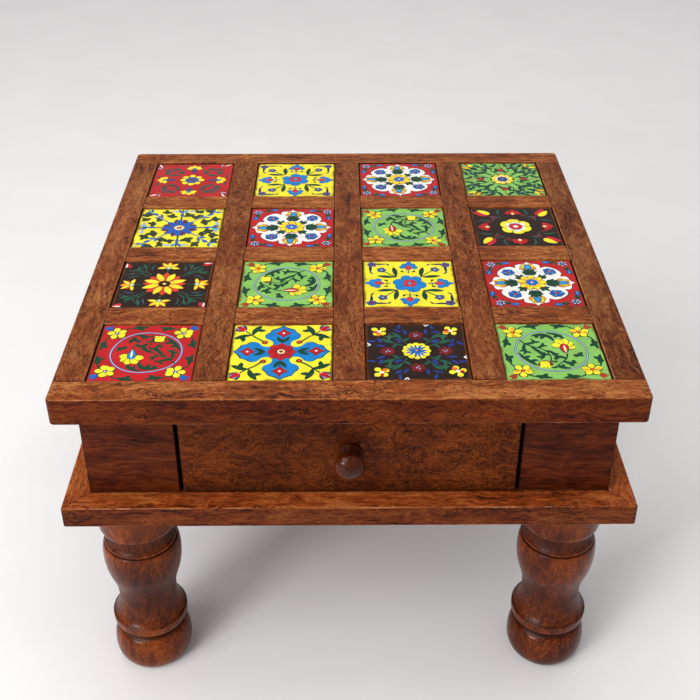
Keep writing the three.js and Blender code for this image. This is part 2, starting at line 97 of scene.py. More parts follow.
class Graph:
    """The nodes of one material, joined by short calls."""

    def __init__(self, name):
        self.material = bpy.data.materials.new(name)
        self.material.use_nodes = True
        self.tree = self.material.node_tree
        self.tree.nodes.clear()
        self.shader = self.node("BsdfPrincipled")
        output = self.node("OutputMaterial")
        self.tree.links.new(self.shader.outputs[0], output.inputs[0])

    def node(self, kind, **inputs):
        made = self.tree.nodes.new("ShaderNode" + kind)
        for socket, value in inputs.items():
            self.put(made, socket.replace("_", " "), value)
        return made

    def put(self, node, socket, value):
        if isinstance(value, bpy.types.NodeSocket):
            self.tree.links.new(value, node.inputs[socket])
        else:
            node.inputs[socket].default_value = value

    def math(self, operation, *values):
        made = self.node("Math")
        made.operation = operation
        for i, value in enumerate(values):
            self.put(made, i, value)
        return made.outputs[0]

    def times(self, a, b):
        return self.math("MULTIPLY", a, b)

    def total(self, *layers):
        """The sum of some layers, each given with its share."""
        made = 0.0
        for layer, share in layers:
            made = self.math("ADD", made, self.times(layer, share))
        return made

    def vector(self, operation, *values):
        made = self.node("VectorMath")
        made.operation = operation
        for i, value in enumerate(values):
            self.put(made, i, value)
        return made.outputs[0]

    def remap(self, value, low, high, to_low=0.0, to_high=1.0):
        made = self.node("MapRange", Value=value)
        made.interpolation_type = "SMOOTHSTEP"
        for i, bound in enumerate((low, high, to_low, to_high)):
            made.inputs[i + 1].default_value = bound
        return made.outputs[0]

    def mix(self, factor, a, b):
        made = self.node("Mix")
        made.data_type = "RGBA"
        made.clamp_factor = True
        for i, value in ((0, factor), (6, a), (7, b)):
            self.put(made, i, value)
        return made.outputs[2]

    def noise(self, vector, scale, detail=2.0, roughness=0.5, distortion=0.0):
        made = self.node("TexNoise", Vector=vector, Scale=scale, Detail=detail)
        made.inputs["Roughness"].default_value = roughness
        made.inputs["Distortion"].default_value = distortion
        return made.outputs[0]

    def moved(self, place, seed):
        """The place, moved at random, so that no two pieces are alike."""
        draw = random.Random(seed)
        return self.vector("ADD", place, [draw.uniform(-3, 3) for _ in range(3)])

    def depth(self, place, box):
        """How deep a place lies in a box, along each axis."""
        low, high = box
        middle = [(a + b) / 2 for a, b in zip(low, high)]
        reach = [(b - a) / 2 for a, b in zip(low, high)]
        off = self.vector("ABSOLUTE", self.vector("SUBTRACT", place, middle))
        return self.node("SeparateXYZ", Vector=self.vector("SUBTRACT", reach, off)).outputs

    def ramp(self, value, stops):
        made = self.node("ValToRGB", Fac=value)
        elements = made.color_ramp.elements
        while len(elements) < len(stops):
            elements.new(0.5)
        for element, (position, colour) in zip(elements, stops):
            element.position, element.color = position, colour
        return made.outputs[0]

    def bump(self, height, strength, distance):
        made = self.node("Bump", Height=height, Strength=strength, Distance=distance)
        self.tree.links.new(made.outputs[0], self.shader.inputs["Normal"])


def scaled(colour, share):
    return (*[c * share for c in colour[:3]], 1.0)


# Wood

AXES = {"x": 0, "y": 1, "z": 2}

# How much each layer of the figure counts: broad, bands, strands, mottle, fibres and clouds
SAWN_SHARES = (0.17, 0.23, 0.30, 0.07, 0.11, 0.12)
TURNED_SHARES = (0.22, 0.18, 0.20, 0.08, 0.20, 0.12)


def wood(name, grain, seed, tones, box=None, gloss=0.4, contrast=1.0, relief=1.0, upright=None,
         figure=1.0, flow=1.0, rub=0.5, shine=0.08, dark_bands=()):
    """Stained and lacquered wood whose grain runs along one axis, in the frame's own coordinates.

    box is a sawn piece's lowest and highest corner: its long arrises are lighter there, as wear and as a
    painted glint, and dirt lies at its ends. A turned piece has none: its ridges are lighter, as wear and a
    painted highlight, and its grooves darker, as stain and a painted shade. upright is a painted shade, the
    tint that darkens the vertical faces;
    figure is how curly the grain is, flow how short its lines are, rub how much the arrises are lightened,
    as wear and as a painted glint, and shine how strongly the lacquer reflects.
    stains lists bands where the wood is made darker, painted shade among them: the axis, from, to, how
    softly it ends and its strength.
    """
    g = Graph(name)
    along = AXES[grain]
    outputs = g.node("TexCoord").outputs
    place, normal = outputs["Object"], outputs["Normal"]
    here = g.moved(place, seed)
    facing = g.node("SeparateXYZ", Vector=normal).outputs

    def stretched(vector, lengthways, across):
        scale = [across] * 3
        scale[along] = lengthways * flow
        return g.vector("MULTIPLY", vector, scale)

    # The lines of the grain wander, more in some places than in others
    drift = g.node("TexNoise", Vector=here, Scale=11.0, Detail=2.0)
    swirl = g.node("TexNoise", Vector=here, Scale=60.0, Detail=2.0)
    bent = g.vector("SUBTRACT", drift.outputs["Color"], [0.5] * 3)
    bent = g.vector("MULTIPLY", bent, [0.022] * 3)
    curled = g.vector("SUBTRACT", swirl.outputs["Color"], [0.5] * 3)
    curled = g.vector("MULTIPLY", curled, [0.002 + 0.008 * figure] * 3)
    lines = g.vector("ADD", here, g.vector("ADD", bent, curled))

    # Layers from broad to fine: their scale along and across the grain, detail, roughness, distortion
    broad = g.noise(stretched(lines, 7, 36), 1.0, 3.0, 0.55)
    bands = g.noise(stretched(lines, 15, 150), 1.0, 4.0, 0.55)
    strands = g.noise(stretched(lines, 45, 430), 1.0, 3.0, 0.55)
    fibres = g.noise(stretched(lines, 60, 900), 1.0, 3.0, 0.6)
    mottle = g.noise(stretched(here, 90, 150), 1.0, 3.0, 0.6, 1.6)
    curls = g.noise(stretched(lines, 105, 270), 1.0, 2.0, 0.5, 1.5)
    knots = g.noise(stretched(lines, 60, 170), 1.0, 2.0, 0.5, 1.8)
    clouds = g.noise(here, 24.0, 2.0)

    shares = SAWN_SHARES if box else TURNED_SHARES
    tone = g.total(*zip((broad, bands, strands, mottle, fibres, clouds), shares))
    dark, body, light = (shade(t) for t in tones)
    half = 0.09 / contrast
    colour = g.ramp(tone, [(0.5 - half, dark), (0.5 - half * 0.1, body), (0.5 + half, light)])

    # Curly figure: short light ripples and thin dark lines between them
    def ripple(layer, level, width):
        return g.remap(g.math("ABSOLUTE", g.math("SUBTRACT", layer, level)), 0.0, width, 1.0, 0.0)

    curled_here = g.remap(clouds, 0.36, 0.60, 0.25, 1.0)
    ripples = g.times(ripple(curls, 0.55, 0.055), curled_here)
    hairs = g.times(ripple(knots, 0.46, 0.024), curled_here)
    colour = g.mix(g.times(ripples, 0.6 * figure), colour, scaled(light, 1.15))
    colour = g.mix(g.times(hairs, 0.7 * figure), colour, scaled(dark, 0.7))
    pits = g.remap(fibres, 0.58, 0.70)
    colour = g.mix(g.times(pits, 0.4), colour, scaled(dark, 0.7))

    # End grain drinks more stain
    endways = g.math("ABSOLUTE", facing[along])
    colour = g.mix(g.remap(endways, 0.6, 0.95, 0.0, 0.55), colour, scaled(dark, 0.8))
    # Painted shade: the vertical faces are darkened by the given tint
    if upright:
        level = g.remap(facing[2], 0.25, 0.75)
        colour = g.mix(level, g.vector("MULTIPLY", colour, upright), colour)

    if box:
        depth = g.depth(place, box)
        arris = g.math("MAXIMUM", *[depth[i] for i in range(3) if i != along])
        # The long arrises are lighter: wear, and a painted glint where the lacquer would catch the light
        uneven = g.times(g.math("SUBTRACT", g.math("ADD", clouds, mottle), 1.0), 1.6 * MM)
        rubbed = g.remap(g.math("ADD", arris, uneven), 0.7 * MM, 0.2 * MM, 0.0, rub)
        end = g.times(g.remap(depth[along], 1.1 * MM, 0.2 * MM, 0.0, 0.8),
                      g.remap(endways, 0.4, 0.8, 1.0, 0.0))
        colour = g.mix(end, colour, scaled(dark, 0.3))
        colour = g.mix(rubbed, colour, RUBBED_AND_GLINT)
    else:
        # Stain and painted shade in the hollows, wear and a painted highlight on the ridges, found from how
        # the surface curves
        curve = g.node("NewGeometry").outputs["Pointiness"]
        groove_stain_and_shade = g.remap(curve, 0.495, 0.44, 0.0, 0.6)
        colour = g.mix(groove_stain_and_shade, colour, scaled(dark, 0.6))
        ridge_wear_and_highlight = g.remap(curve, 0.52, 0.58, 0.0, 0.6)
        colour = g.mix(ridge_wear_and_highlight, colour, scaled(light, 1.3))

    # Bands of darker and rougher wood, painted shade among them
    stained = 0.0
    reaches = g.node("SeparateXYZ", Vector=place).outputs
    for axis, low, high, soft, share in dark_bands:
        at = reaches[AXES[axis]]
        begun, ended = g.remap(at, low - soft, low + soft), g.remap(at, high + soft, high - soft)
        inside = g.times(g.times(begun, ended), share)
        colour = g.mix(inside, colour, scaled(dark, 0.9))
        stained = g.math("ADD", stained, inside)

    g.put(g.shader, "Base Color", colour)
    rough = g.remap(g.math("ADD", fibres, mottle), 0.75, 1.3, gloss + 0.08, gloss - 0.05)
    g.put(g.shader, "Roughness", g.total((rough, 1.0), (stained, 0.45), (pits, 0.2)))
    g.shader.inputs["Specular IOR Level"].default_value = shine
    curly = 0.35 * figure
    height = g.total((fibres, 0.2), (mottle, 0.3), (strands, 0.5), (ripples, curly), (hairs, -curly))
    g.bump(height, 0.8 * relief, 0.8 * MM)
    return g.material


# Glaze


def start_glaze(name, seed, broad, fine, share):
    """A new glossy material, the place on it, its clouds and how thick it lies there."""
    g = Graph(name)
    place = g.node("TexCoord").outputs["Object"]
    here = g.moved(place, seed)
    cloud = g.noise(here, broad, 3.0, 0.55)
    grainy = g.noise(here, fine, 2.0, 0.6)
    thick = g.remap(g.total((cloud, share), (grainy, 1 - share)), 0.36, 0.64)
    g.shader.inputs["Specular IOR Level"].default_value = 0.12
    return g, place, cloud, thick


def glaze(name, colour, seed):
    """Glossy glaze, a little uneven in colour and surface as brushed glaze is."""
    g, _, cloud, thick = start_glaze(name, seed, 130.0, 1100.0, 0.8)
    g.put(g.shader, "Base Color", g.mix(thick, scaled(colour, 0.88), scaled(colour, 1.12)))
    g.put(g.shader, "Roughness", g.remap(cloud, 0.3, 0.7, 0.10, 0.22))
    g.bump(cloud, 0.25, 0.4 * MM)
    return g.material


def tile_glaze(name, colour, seed, box):
    """A tile's ground glaze, which thins to a browner line at the arrises; the line also paints the shade
    of the tile's recess.
    """
    g, place, cloud, thick = start_glaze(name, seed, 60.0, 900.0, 0.75)
    ground = g.mix(thick, scaled(colour, 0.88), scaled(colour, 1.08))
    depth = g.depth(place, box)
    # Browner towards the edges and corners: thin glaze, and a painted shade from the recess's walls
    corner = g.times(g.math("ADD", depth[0], depth[1]), 0.6)
    edge = g.math("MINIMUM", g.math("MINIMUM", depth[0], depth[1]), corner)
    edge = g.math("ADD", edge, g.times(g.math("SUBTRACT", cloud, 0.5), 6 * MM))
    rim = g.remap(edge, 2.6 * MM, 0.4 * MM, 0.0, 0.85)
    ground = g.mix(rim, ground, THIN_GLAZE_AND_SHADE)
    bare = g.remap(depth[2], 1.6 * MM, 2.2 * MM)
    g.put(g.shader, "Base Color", g.mix(bare, ground, BARE_CLAY))
    g.put(g.shader, "Roughness", g.math("ADD", g.remap(cloud, 0.3, 0.7, 0.10, 0.20), g.times(bare, 0.6)))
    g.bump(cloud, 0.3, 0.6 * MM)
    return g.material


# Turned pieces


def cubic(a, b, c, d, steps):
    """Points along a cubic curve after its first one."""
    points = []
    for i in range(1, steps + 1):
        t = i / steps
        u = 1 - t
        shares = u**3, 3 * u * u * t, 3 * u * t * t, t**3
        points.append(tuple(sum(k * v for k, v in zip(shares, values)) for values in zip(a, b, c, d)))
    return points


QUARTER_ROUND = 0.5523  # share of the radius at which a quarter circle's handles lie


class Profile:
    """The outline of a turned piece, as radius and height in millimetres."""

    def __init__(self, radius, height, steps):
        self.points = [(radius, height)]
        self.steps = steps

    def line(self, radius, height):
        self.points.append((radius, height))

    def round_in(self, radius, height):
        """A quarter round that sets off along the axis and arrives square to it."""
        x, y = self.points[-1]
        lead = (x, y + (height - y) * QUARTER_ROUND)
        trail = (radius - (radius - x) * QUARTER_ROUND, height)
        self.curve(lead, trail, (radius, height))

    def round_out(self, radius, height):
        """A quarter round that sets off square to the axis and arrives along it."""
        x, y = self.points[-1]
        lead = (x + (radius - x) * QUARTER_ROUND, y)
        trail = (radius, height - (height - y) * QUARTER_ROUND)
        self.curve(lead, trail, (radius, height))

    def curve(self, lead, trail, end):
        """A free curve, set by its two handles."""
        self.points += cubic(self.points[-1], lead, trail, end, self.steps)

    def flare(self, radius, height, slope):
        """A hollow that sets off at a slope, height over radius, and arrives along the axis."""
        x, y = self.points[-1]
        run = (radius - x) * 0.45
        self.curve((x + run, y + abs(run) * slope), (radius, (y + height) / 2), (radius, height))

    def sweep(self, radius, height):
        """A long curve that sets off and arrives along the axis."""
        x, y = self.points[-1]
        step = (height - y) / 2
        self.curve((x, y + step), (radius, height - step), (radius, height))


def add(name, data):
    """Puts a new object in the scene."""
    made = bpy.data.objects.new(name, data)
    bpy.context.scene.collection.objects.link(made)
    return made


def lathe(name, profile, place, segments):
    """Turns a profile about its axis. place(radius, angle, height) gives each point in the frame."""
    rings = profile.points[1:-1]
    points = [place(0, 0, profile.points[0][1])]
    for radius, height in rings:
        points += [place(radius, TAU * i / segments, height) for i in range(segments)]
    points.append(place(0, 0, profile.points[-1][1]))
    last = len(points) - 1
    faces = []
    for i in range(segments):
        j = (i + 1) % segments
        faces.append((0, 1 + j, 1 + i))
        for ring in range(len(rings) - 1):
            low, high = 1 + ring * segments, 1 + (ring + 1) * segments
            faces.append((low + i, low + j, high + j, high + i))
        top = 1 + (len(rings) - 1) * segments
        faces.append((top + i, top + j, last))
    mesh = bpy.data.meshes.new(name)
    mesh.from_pydata([Vector(p) * MM for p in points], [], faces)
    mesh.shade_smooth()
    mesh.validate()
    return add(name, mesh)


def keep_edges(piece, degrees=32):
    """Marks as sharp the edges that turn by more than an angle."""
    mesh = piece.data
    faces_at = {}
    for face in mesh.polygons:
        for key in face.edge_keys:
            faces_at.setdefault(key, []).append(face.normal.copy())
    limit = math.radians(degrees)
    for edge in mesh.edges:
        normals = faces_at.get(tuple(sorted(edge.vertices)), [])
        if len(normals) == 2 and normals[0].angle(normals[1], 0) > limit:
            edge.use_edge_sharp = True


def leg_profile():
    p = Profile(0, 0, 10)
    p.line(22, 0)
    p.round_out(31.6, 16.5)
    p.curve((31.6, 26), (29.6, 32.6), (26, 34.4))
    p.line(25.4, 35)
    p.round_out(26.4, 36.2)
    p.line(25, 37.2)
    p.line(25.2, 39.4)
    p.curve((28.4, 39.8), (30.2, 41.4), (30.2, 44.6))
    p.line(30.3, 48.6)
    p.curve((30.3, 49.2), (30.2, 49.4), (29.9, 49.6))
    p.line(29.4, 49.9)
    p.flare(23.2, 68, 0.6)
    p.sweep(30.9, 114)
    p.round_in(28.6, 126)
    p.line(27.6, 126.6)
    p.round_out(28.4, 127.8)
    p.round_in(27.6, 129.6)
    p.flare(24.6, 140, 1.0)
    p.line(24.8, 141.8)
    p.line(28.4, 142.8)
    p.round_out(31, 148)
    p.line(31, 168.9)
    p.line(30.2, 169.7)
    p.line(12, 169.7)
    p.line(12, 182.7)
    p.line(0, 182.7)
    return p


KNOB_LENGTH = 23.6  # from the drawer's face, in millimetres


def knob_profile():
    p = Profile(0, -9, 8)
    p.line(4, -9)
    p.line(4, 0)
    p.line(9.2, 0)
    p.line(9.3, 1.6)
    p.curve((8.7, 3), (7.3, 5.2), (6.8, 8.6))
    p.curve((6.6, 10.4), (6.8, 11.4), (7.6, 12))
    p.line(9.4, 13)
    p.curve((10.6, 13.7), (11.1, 14.8), (11.1, 16.2))
    p.line(11.1, 17)
    p.curve((10.7, 18.8), (8.8, 21.4), (3.2, 23.3))
    p.curve((3, 23.2), (2.7, 23.2), (2.4, 23.4))
    p.line(0, 23.5)
    return p


# Painted tiles

TILE_HALF = 37.5 * MM
SAFE = 0.965  # share of the half side that is flat enough to paint
INSET = 0.006  # the painted shapes' tops are this much smaller than their feet
TIP = 0.005  # the least half width of a stroke
KEYED = 0.08 * MM  # how deep the foot of the paint lies in the tile
FIRST_LIFT = 0.05 * MM  # how high the lowest shape stands
LIFT_STEP = 0.0015 * MM  # how much higher each one stands than the last
DOME = 0.035 * MM  # how much lower its edge is than its top


def arc(x, y, heading, length, bend=0, steps=9, late=1):
    """Points along a curve that sets off at a heading and turns by bend, both in degrees.

    late above 1 leaves most of the turn to the end.
    """
    points = [(x, y)]
    step = length / steps
    for i in range(steps):
        a = math.radians(heading + bend * ((i + 0.5) / steps) ** late)
        x, y = x + step * math.cos(a), y + step * math.sin(a)
        points.append((x, y))
    return points


def between(p, q, r, s, t):
    """A curve from q to r that p and s lead, at a share of its way."""
    return 0.5 * (2 * q + (r - p) * t + (2 * p - 5 * q + 4 * r - s) * t**2 + (3 * q - p - 3 * r + s) * t**3)


def through(points, steps=5):
    """A smooth curve through some points."""
    ends = [points[0], *points, points[-1]]
    made = [points[0]]
    for four in zip(ends, ends[1:], ends[2:], ends[3:]):
        for i in range(1, steps + 1):
            made.append(tuple(between(*values, i / steps) for values in zip(*four)))
    return made


class Painting:
    """Raised glaze on one tile, in shares of its half side. Each shape is closed and lies over the last."""

    def __init__(self, seed):
        self.points, self.faces, self.paints = [], [], []
        self.turn, self.flip, self.layer = 0, 1, 0
        self.hand = random.Random(seed)
        self.nudge = (0, 0)
        vary = self.hand.uniform
        # A brush held by hand strays a little: size, speed, direction and phase of each wander
        self.wander = [(vary(0.004, 0.008), vary(2.5, 8), vary(0, TAU), vary(0, TAU)) for _ in range(4)]

    def stray(self, size):
        return self.hand.uniform(-size, size)

    def placed(self, outline):
        c, s = math.cos(math.radians(self.turn)), math.sin(math.radians(self.turn))
        made = []
        for x, y in outline:
            x *= self.flip
            x, y = x * c - y * s + self.nudge[0], x * s + y * c + self.nudge[1]
            for size, speed, way, phase in self.wander:
                off = size * math.sin(speed * (x * math.cos(way) + y * math.sin(way)) + phase)
                x, y = x - off * math.sin(way), y + off * math.cos(way)
            made.append((max(-SAFE, min(SAFE, x)), max(-SAFE, min(SAFE, y))))
        return made

    def lay(self, outer, inner, paint):
        outer, inner = self.placed(outer), self.placed(inner)
        following = outer[1:] + outer[:1]
        if sum(a[0] * b[1] - b[0] * a[1] for a, b in zip(outer, following)) < 0:
            outer, inner = outer[::-1], inner[::-1]
        n, first = len(outer), len(self.points)
        lift = FIRST_LIFT + self.layer * LIFT_STEP
        for ring, z in ((outer, -KEYED), (outer, lift - DOME), (inner, lift)):
            self.points += [(x * TILE_HALF, y * TILE_HALF, z) for x, y in ring]
        shapes = [tuple(range(first + n - 1, first - 1, -1)), tuple(range(first + 2 * n, first + 3 * n))]
        for low in (first, first + n):
            shapes += [(low + i, low + (i + 1) % n, low + n + (i + 1) % n, low + n + i) for i in range(n)]
        self.faces += shapes
        self.paints += [paint] * len(shapes)

    def blob(self, x, y, reach, paint, steps=24, turn=0, edge=0, rim="ink"):
        """A shape round a centre: reach(angle) is how far its outline lies from there."""
        if edge:
            self.blob(x, y, lambda a: reach(a) + edge, rim, steps, turn)
        self.layer += 1
        outer, inner = [], []
        for i in range(steps):
            a = TAU * i / steps
            r = reach(a)
            c, s = math.cos(a + math.radians(turn)), math.sin(a + math.radians(turn))
            outer.append((x + r * c, y + r * s))
            r = max(r - INSET, 0.6 * r)
            inner.append((x + r * c, y + r * s))
        self.lay(outer, inner, paint)

    def dot(self, x, y, radius, paint, **more):
        self.blob(x, y, lambda a: radius, paint, steps=12, **more)

    def flower(self, x, y, radius, petals, paint, depth=0.35, sharp=0.7, turn=90, **more):
        """A flower of round petals. Those with sharp above 1 are pointed."""
        reach = lambda a: radius * (1 - depth + depth * abs(math.cos(petals * a / 2)) ** sharp)
        self.blob(x, y, reach, paint, steps=petals * 8, turn=turn, **more)

    def stroke(self, spine, width, paint, edge=0, rim="ink"):
        """A brush stroke along a line. width(share) is its half width there, or one for each side."""
        if edge:
            self.stroke(spine, lambda t: [w + edge for w in both(width(t))], rim)
        self.layer += 1
        last = len(spine) - 1
        sides = [[], [], [], []]
        for i, (x, y) in enumerate(spine):
            (ax, ay), (bx, by) = spine[max(i - 1, 0)], spine[min(i + 1, last)]
            size = math.hypot(bx - ax, by - ay) or 1
            dx, dy = (by - ay) / size, (ax - bx) / size
            right, left = (max(w, TIP) for w in both(width(i / last)))
            in_right, in_left = max(right - INSET, 0.5 * right), max(left - INSET, 0.5 * left)
            for side, off in zip(sides, (right, -left, in_right, -in_left)):
                side.append((x + off * dx, y + off * dy))
        self.lay(sides[0] + sides[1][::-1], sides[2] + sides[3][::-1], paint)

    def stem(self, points, width, paint, **more):
        self.stroke(through(points), lambda t: width * (1 - 0.35 * t), paint, **more)

    def leaf(self, x, y, heading, length, width, paint, bend=0, skew=0.8, blunt=0.85, **more):
        """A leaf or petal that swells from a point and ends in one. blunt below 0.8 rounds its ends."""
        swell = lambda t: width * math.sin(math.pi * t**skew) ** blunt if 0 < t < 1 else 0
        self.stroke(arc(x, y, heading, length, bend), swell, paint, **more)

    def brush(self, points, width, paint, lobes=(), skew=0.8, **more):
        """A leaf through some points. lobes lists the smaller ones: where they start, heading, length."""
        spine = through(points)
        swell = lambda t: width * math.sin(math.pi * t**skew) ** 0.7 if 0 < t < 1 else 0
        self.stroke(spine, swell, paint, **more)
        for share, heading, length in lobes:
            x, y = spine[round(share * (len(spine) - 1))]
            turn = 55 if (heading // 90) % 2 else -55
            self.leaf(x, y, heading - turn / 3, length, 0.85 * width, paint, turn, skew=0.85, blunt=0.65)

    def frond(self, x, y, heading, length, width, paint, bend=0, lobes=2, **more):
        """A hooked leaf, smooth on the inside of its bend and lobed on the outside."""
        def sides(t):
            swell = width * math.sin(math.pi * t**0.7) ** 0.8 if 0 < t < 1 else 0
            wave = 0.5 + 0.95 * abs(math.sin(math.pi * lobes * t**0.85)) ** 0.7
            out, inside = swell * (wave if t < 0.86 else 0.9), 0.75 * swell
            return (out, inside) if bend > 0 else (inside, out)

        self.stroke(arc(x, y, heading, length, bend, steps=16, late=1.6), sides, paint, **more)

    def cluster(self, spots, paint, edge, rim):
        """Round lobes that run together inside one outline."""
        for x, y, radius in spots:
            self.dot(x, y, radius + edge, rim)
        for x, y, radius in spots:
            self.dot(x, y, radius, paint)

    def petals(self, x, y, count, inner, length, width, paint, turn=90, skew=1.1, uneven=0.05, **more):
        """Separate petals round a centre."""
        for i in range(count):
            heading = turn + 360 * i / count + self.stray(60 * uneven)
            a = math.radians(heading)
            reach = length * (1 + self.stray(uneven))
            foot = x + inner * math.cos(a), y + inner * math.sin(a)
            self.leaf(*foot, heading, reach, width, paint, skew=skew, **more)

    def bloom(self, x, y, radius, count, paint, rim, turn=90, fat=0.4, edge=0.016):
        """A flower of broad round petals, each with its own outline."""
        self.dot(x, y, radius * 0.6, rim)
        sizes = 0.12 * radius, 0.9 * radius, fat * radius
        self.petals(x, y, count, *sizes, paint, turn=turn, skew=1.45, blunt=0.55, edge=edge, rim=rim)

    def ring(self, x, y, radius, width, paint):
        """A closed band, laid as two half rounds that meet."""
        self.layer += 1
        for start in (0, 180):
            angles = [math.radians(start + 180 * i / 32) for i in range(33)]
            spine = [(x + radius * math.cos(a), y + radius * math.sin(a)) for a in angles]
            self.stroke(spine, lambda t: width, paint)


def both(width):
    return width if isinstance(width, (tuple, list)) else (width, width)


QUARTERS = (0, 90, 180, 270)
HANDS = (1, -1)
UNEVEN = 0.012


def quarters(p, start=0):
    """Turns the painting through four quarters, none quite like the others."""
    for q in QUARTERS:
        p.turn = start + q + p.stray(1.5)
        p.nudge = (p.stray(UNEVEN), p.stray(UNEVEN))
        yield q
    p.turn, p.nudge = 0, (0, 0)


def eighths(p, start=0):
    """Turns and mirrors the painting through its eight like parts."""
    for _ in quarters(p, start):
        for p.flip in HANDS:
            yield p.flip
    p.flip = 1


def vine(p, petal, heart, tongue, bud, cup, line):
    """A winding stem inside a ring, with lobed leaves, one open flower and one tulip."""
    for points in (
        [(0.6, -0.39), (0.5, -0.26), (0.39, -0.17), (0.22, -0.1), (0.09, 0.02), (0.04, 0.18), (0.07, 0.33),
         (0.12, 0.42)],
        [(-0.31, 0.02), (-0.29, 0.15), (-0.25, 0.26), (-0.16, 0.37), (-0.06, 0.47), (0, 0.56)],
        [(-0.16, -0.28), (-0.09, -0.36), (-0.05, -0.46)],
    ):
        p.stem(points, 0.018, line)
    for points, width, *lobes in (
        ([(0.36, 0.5), (0.47, 0.37), (0.58, 0.22), (0.66, 0.04)], 0.048, (0.35, 205, 0.18),
         (0.6, 215, 0.15)),
        ([(0.39, -0.17), (0.29, -0.04), (0.21, 0.07), (0.18, 0.19), (0.27, 0.31)], 0.044, (0.5, 130, 0.13),
         (0.75, 10, 0.15)),
        ([(0.5, -0.26), (0.53, -0.1), (0.51, 0.03), (0.56, 0.13)], 0.04, (0.45, 30, 0.13),
         (0.6, 150, 0.13)),
        ([(-0.17, 0.36), (-0.28, 0.43), (-0.42, 0.41)], 0.048, (0.5, 110, 0.13), (0.7, 250, 0.12)),
        ([(-0.24, 0.28), (-0.16, 0.21), (-0.06, 0.23), (-0.01, 0.32)], 0.046, (0.5, 300, 0.12),
         (0.6, 60, 0.1)),
        ([(-0.03, 0.51), (-0.12, 0.58), (-0.28, 0.6)], 0.046, (0.5, 260, 0.12)),
        ([(-0.03, 0.53), (0.04, 0.58), (0.1, 0.57)], 0.03),
        ([(-0.6, 0.05), (-0.52, 0.14), (-0.42, 0.22)], 0.044, (0.5, 10, 0.13), (0.4, 120, 0.1)),
        ([(-0.09, -0.36), (-0.04, -0.49), (0.08, -0.57), (0.22, -0.57), (0.34, -0.52)], 0.052,
         (0.5, 65, 0.17), (0.75, 80, 0.12)),
        ([(-0.3, -0.42), (-0.26, -0.53), (-0.14, -0.6), (0.01, -0.65)], 0.046, (0.5, 60, 0.13)),
        ([(0.5, -0.26), (0.4, -0.26), (0.31, -0.33), (0.37, -0.44)], 0.04, (0.5, 190, 0.16)),
        ([(0.13, 0), (0.03, 0.02), (-0.06, 0.1), (-0.15, 0.09)], 0.038, (0.5, 100, 0.11)),
        ([(0.24, -0.1), (0.15, -0.18), (0.05, -0.17)], 0.038, (0.5, 260, 0.11)),
        ([(0.05, 0.12), (0.13, 0.12), (0.15, 0.03)], 0.03),
        ([(0.08, 0.34), (-0.01, 0.38), (-0.05, 0.34)], 0.028),
    ):
        p.brush(points, width, line, lobes)
    # The open flower, seen from the side, and the tulip
    for heading, length in ((172, 0.24), (218, 0.24), (258, 0.27), (298, 0.28), (345, 0.25)):
        p.leaf(-0.27, -0.16, heading, length, 0.085, petal, skew=1.4, blunt=0.55, edge=0.014, rim=line)
    p.leaf(-0.27, -0.26, 92, 0.35, 0.085, heart, skew=0.75, blunt=0.7, edge=0.012, rim=line)
    p.leaf(-0.275, -0.21, 94, 0.31, 0.028, tongue)
    p.leaf(0.07, 0.5, 285, 0.24, 0.05, cup, 60)
    p.leaf(0.34, 0.52, 250, 0.2, 0.04, cup, -60)
    box = lambda a: 0.1 / max(abs(math.cos(a)), abs(math.sin(a))) ** 0.75
    p.blob(0.21, 0.46, box, bud, steps=20, edge=0.012, rim=line)
    for x in (0.14, 0.21, 0.28):
        p.dot(x, 0.545, 0.036, bud)


def garland(p, turned, line, tips, hearts, second, flower_parts, deep):
    """A ring round a vine, with a flower in each corner and leaves along the edges."""
    p.ring(0, 0, 0.7, 0.0235, deep)
    p.ring(0, 0, 0.7, 0.0155, "lilac")
    p.turn = turned
    vine(p, *flower_parts, line)
    for _ in eighths(p):
        p.stem([(0.57, 0.72), (0.53, 0.82), (0.45, 0.87), (0.36, 0.88)], 0.02, line)
        p.brush([(0.43, 0.87), (0.32, 0.88), (0.22, 0.9), (0.1, 0.93)], 0.05, line,
                ((0.3, 125, 0.09), (0.5, 238, 0.13)))
    for _ in quarters(p):
        for heading in (45, 22, 68):
            p.leaf(0.79, 0.79, heading + p.stray(5), 0.19, 0.036, tips)
        p.bloom(0.66, 0.67, 0.2, 5, "yellow", line, turn=90 + p.stray(30), fat=0.36)
        p.petals(0.66, 0.67, 2, 0.05, 0.13, 0.055, second, turn=220 + p.stray(60), skew=1.3, blunt=0.7)
        p.dot(0.66, 0.67, 0.05, hearts[0])
        p.dot(0.665, 0.675, 0.026, hearts[1])


def tile_ring_red(p):
    parts = ("yellow", "blue", "cream", "yellow", "leaf")
    garland(p, 0, "leaf", "royal", ("deep_blue", "white"), "yellow", parts, "deep_blue")


def ring_green(turned):
    def tile(p):
        parts = ("yellow", "red", "cream", "yellow", "dark_red")
        garland(p, turned, "leaf", "rust", ("red", "orange"), "lemon_shade", parts, "slate")

    return tile


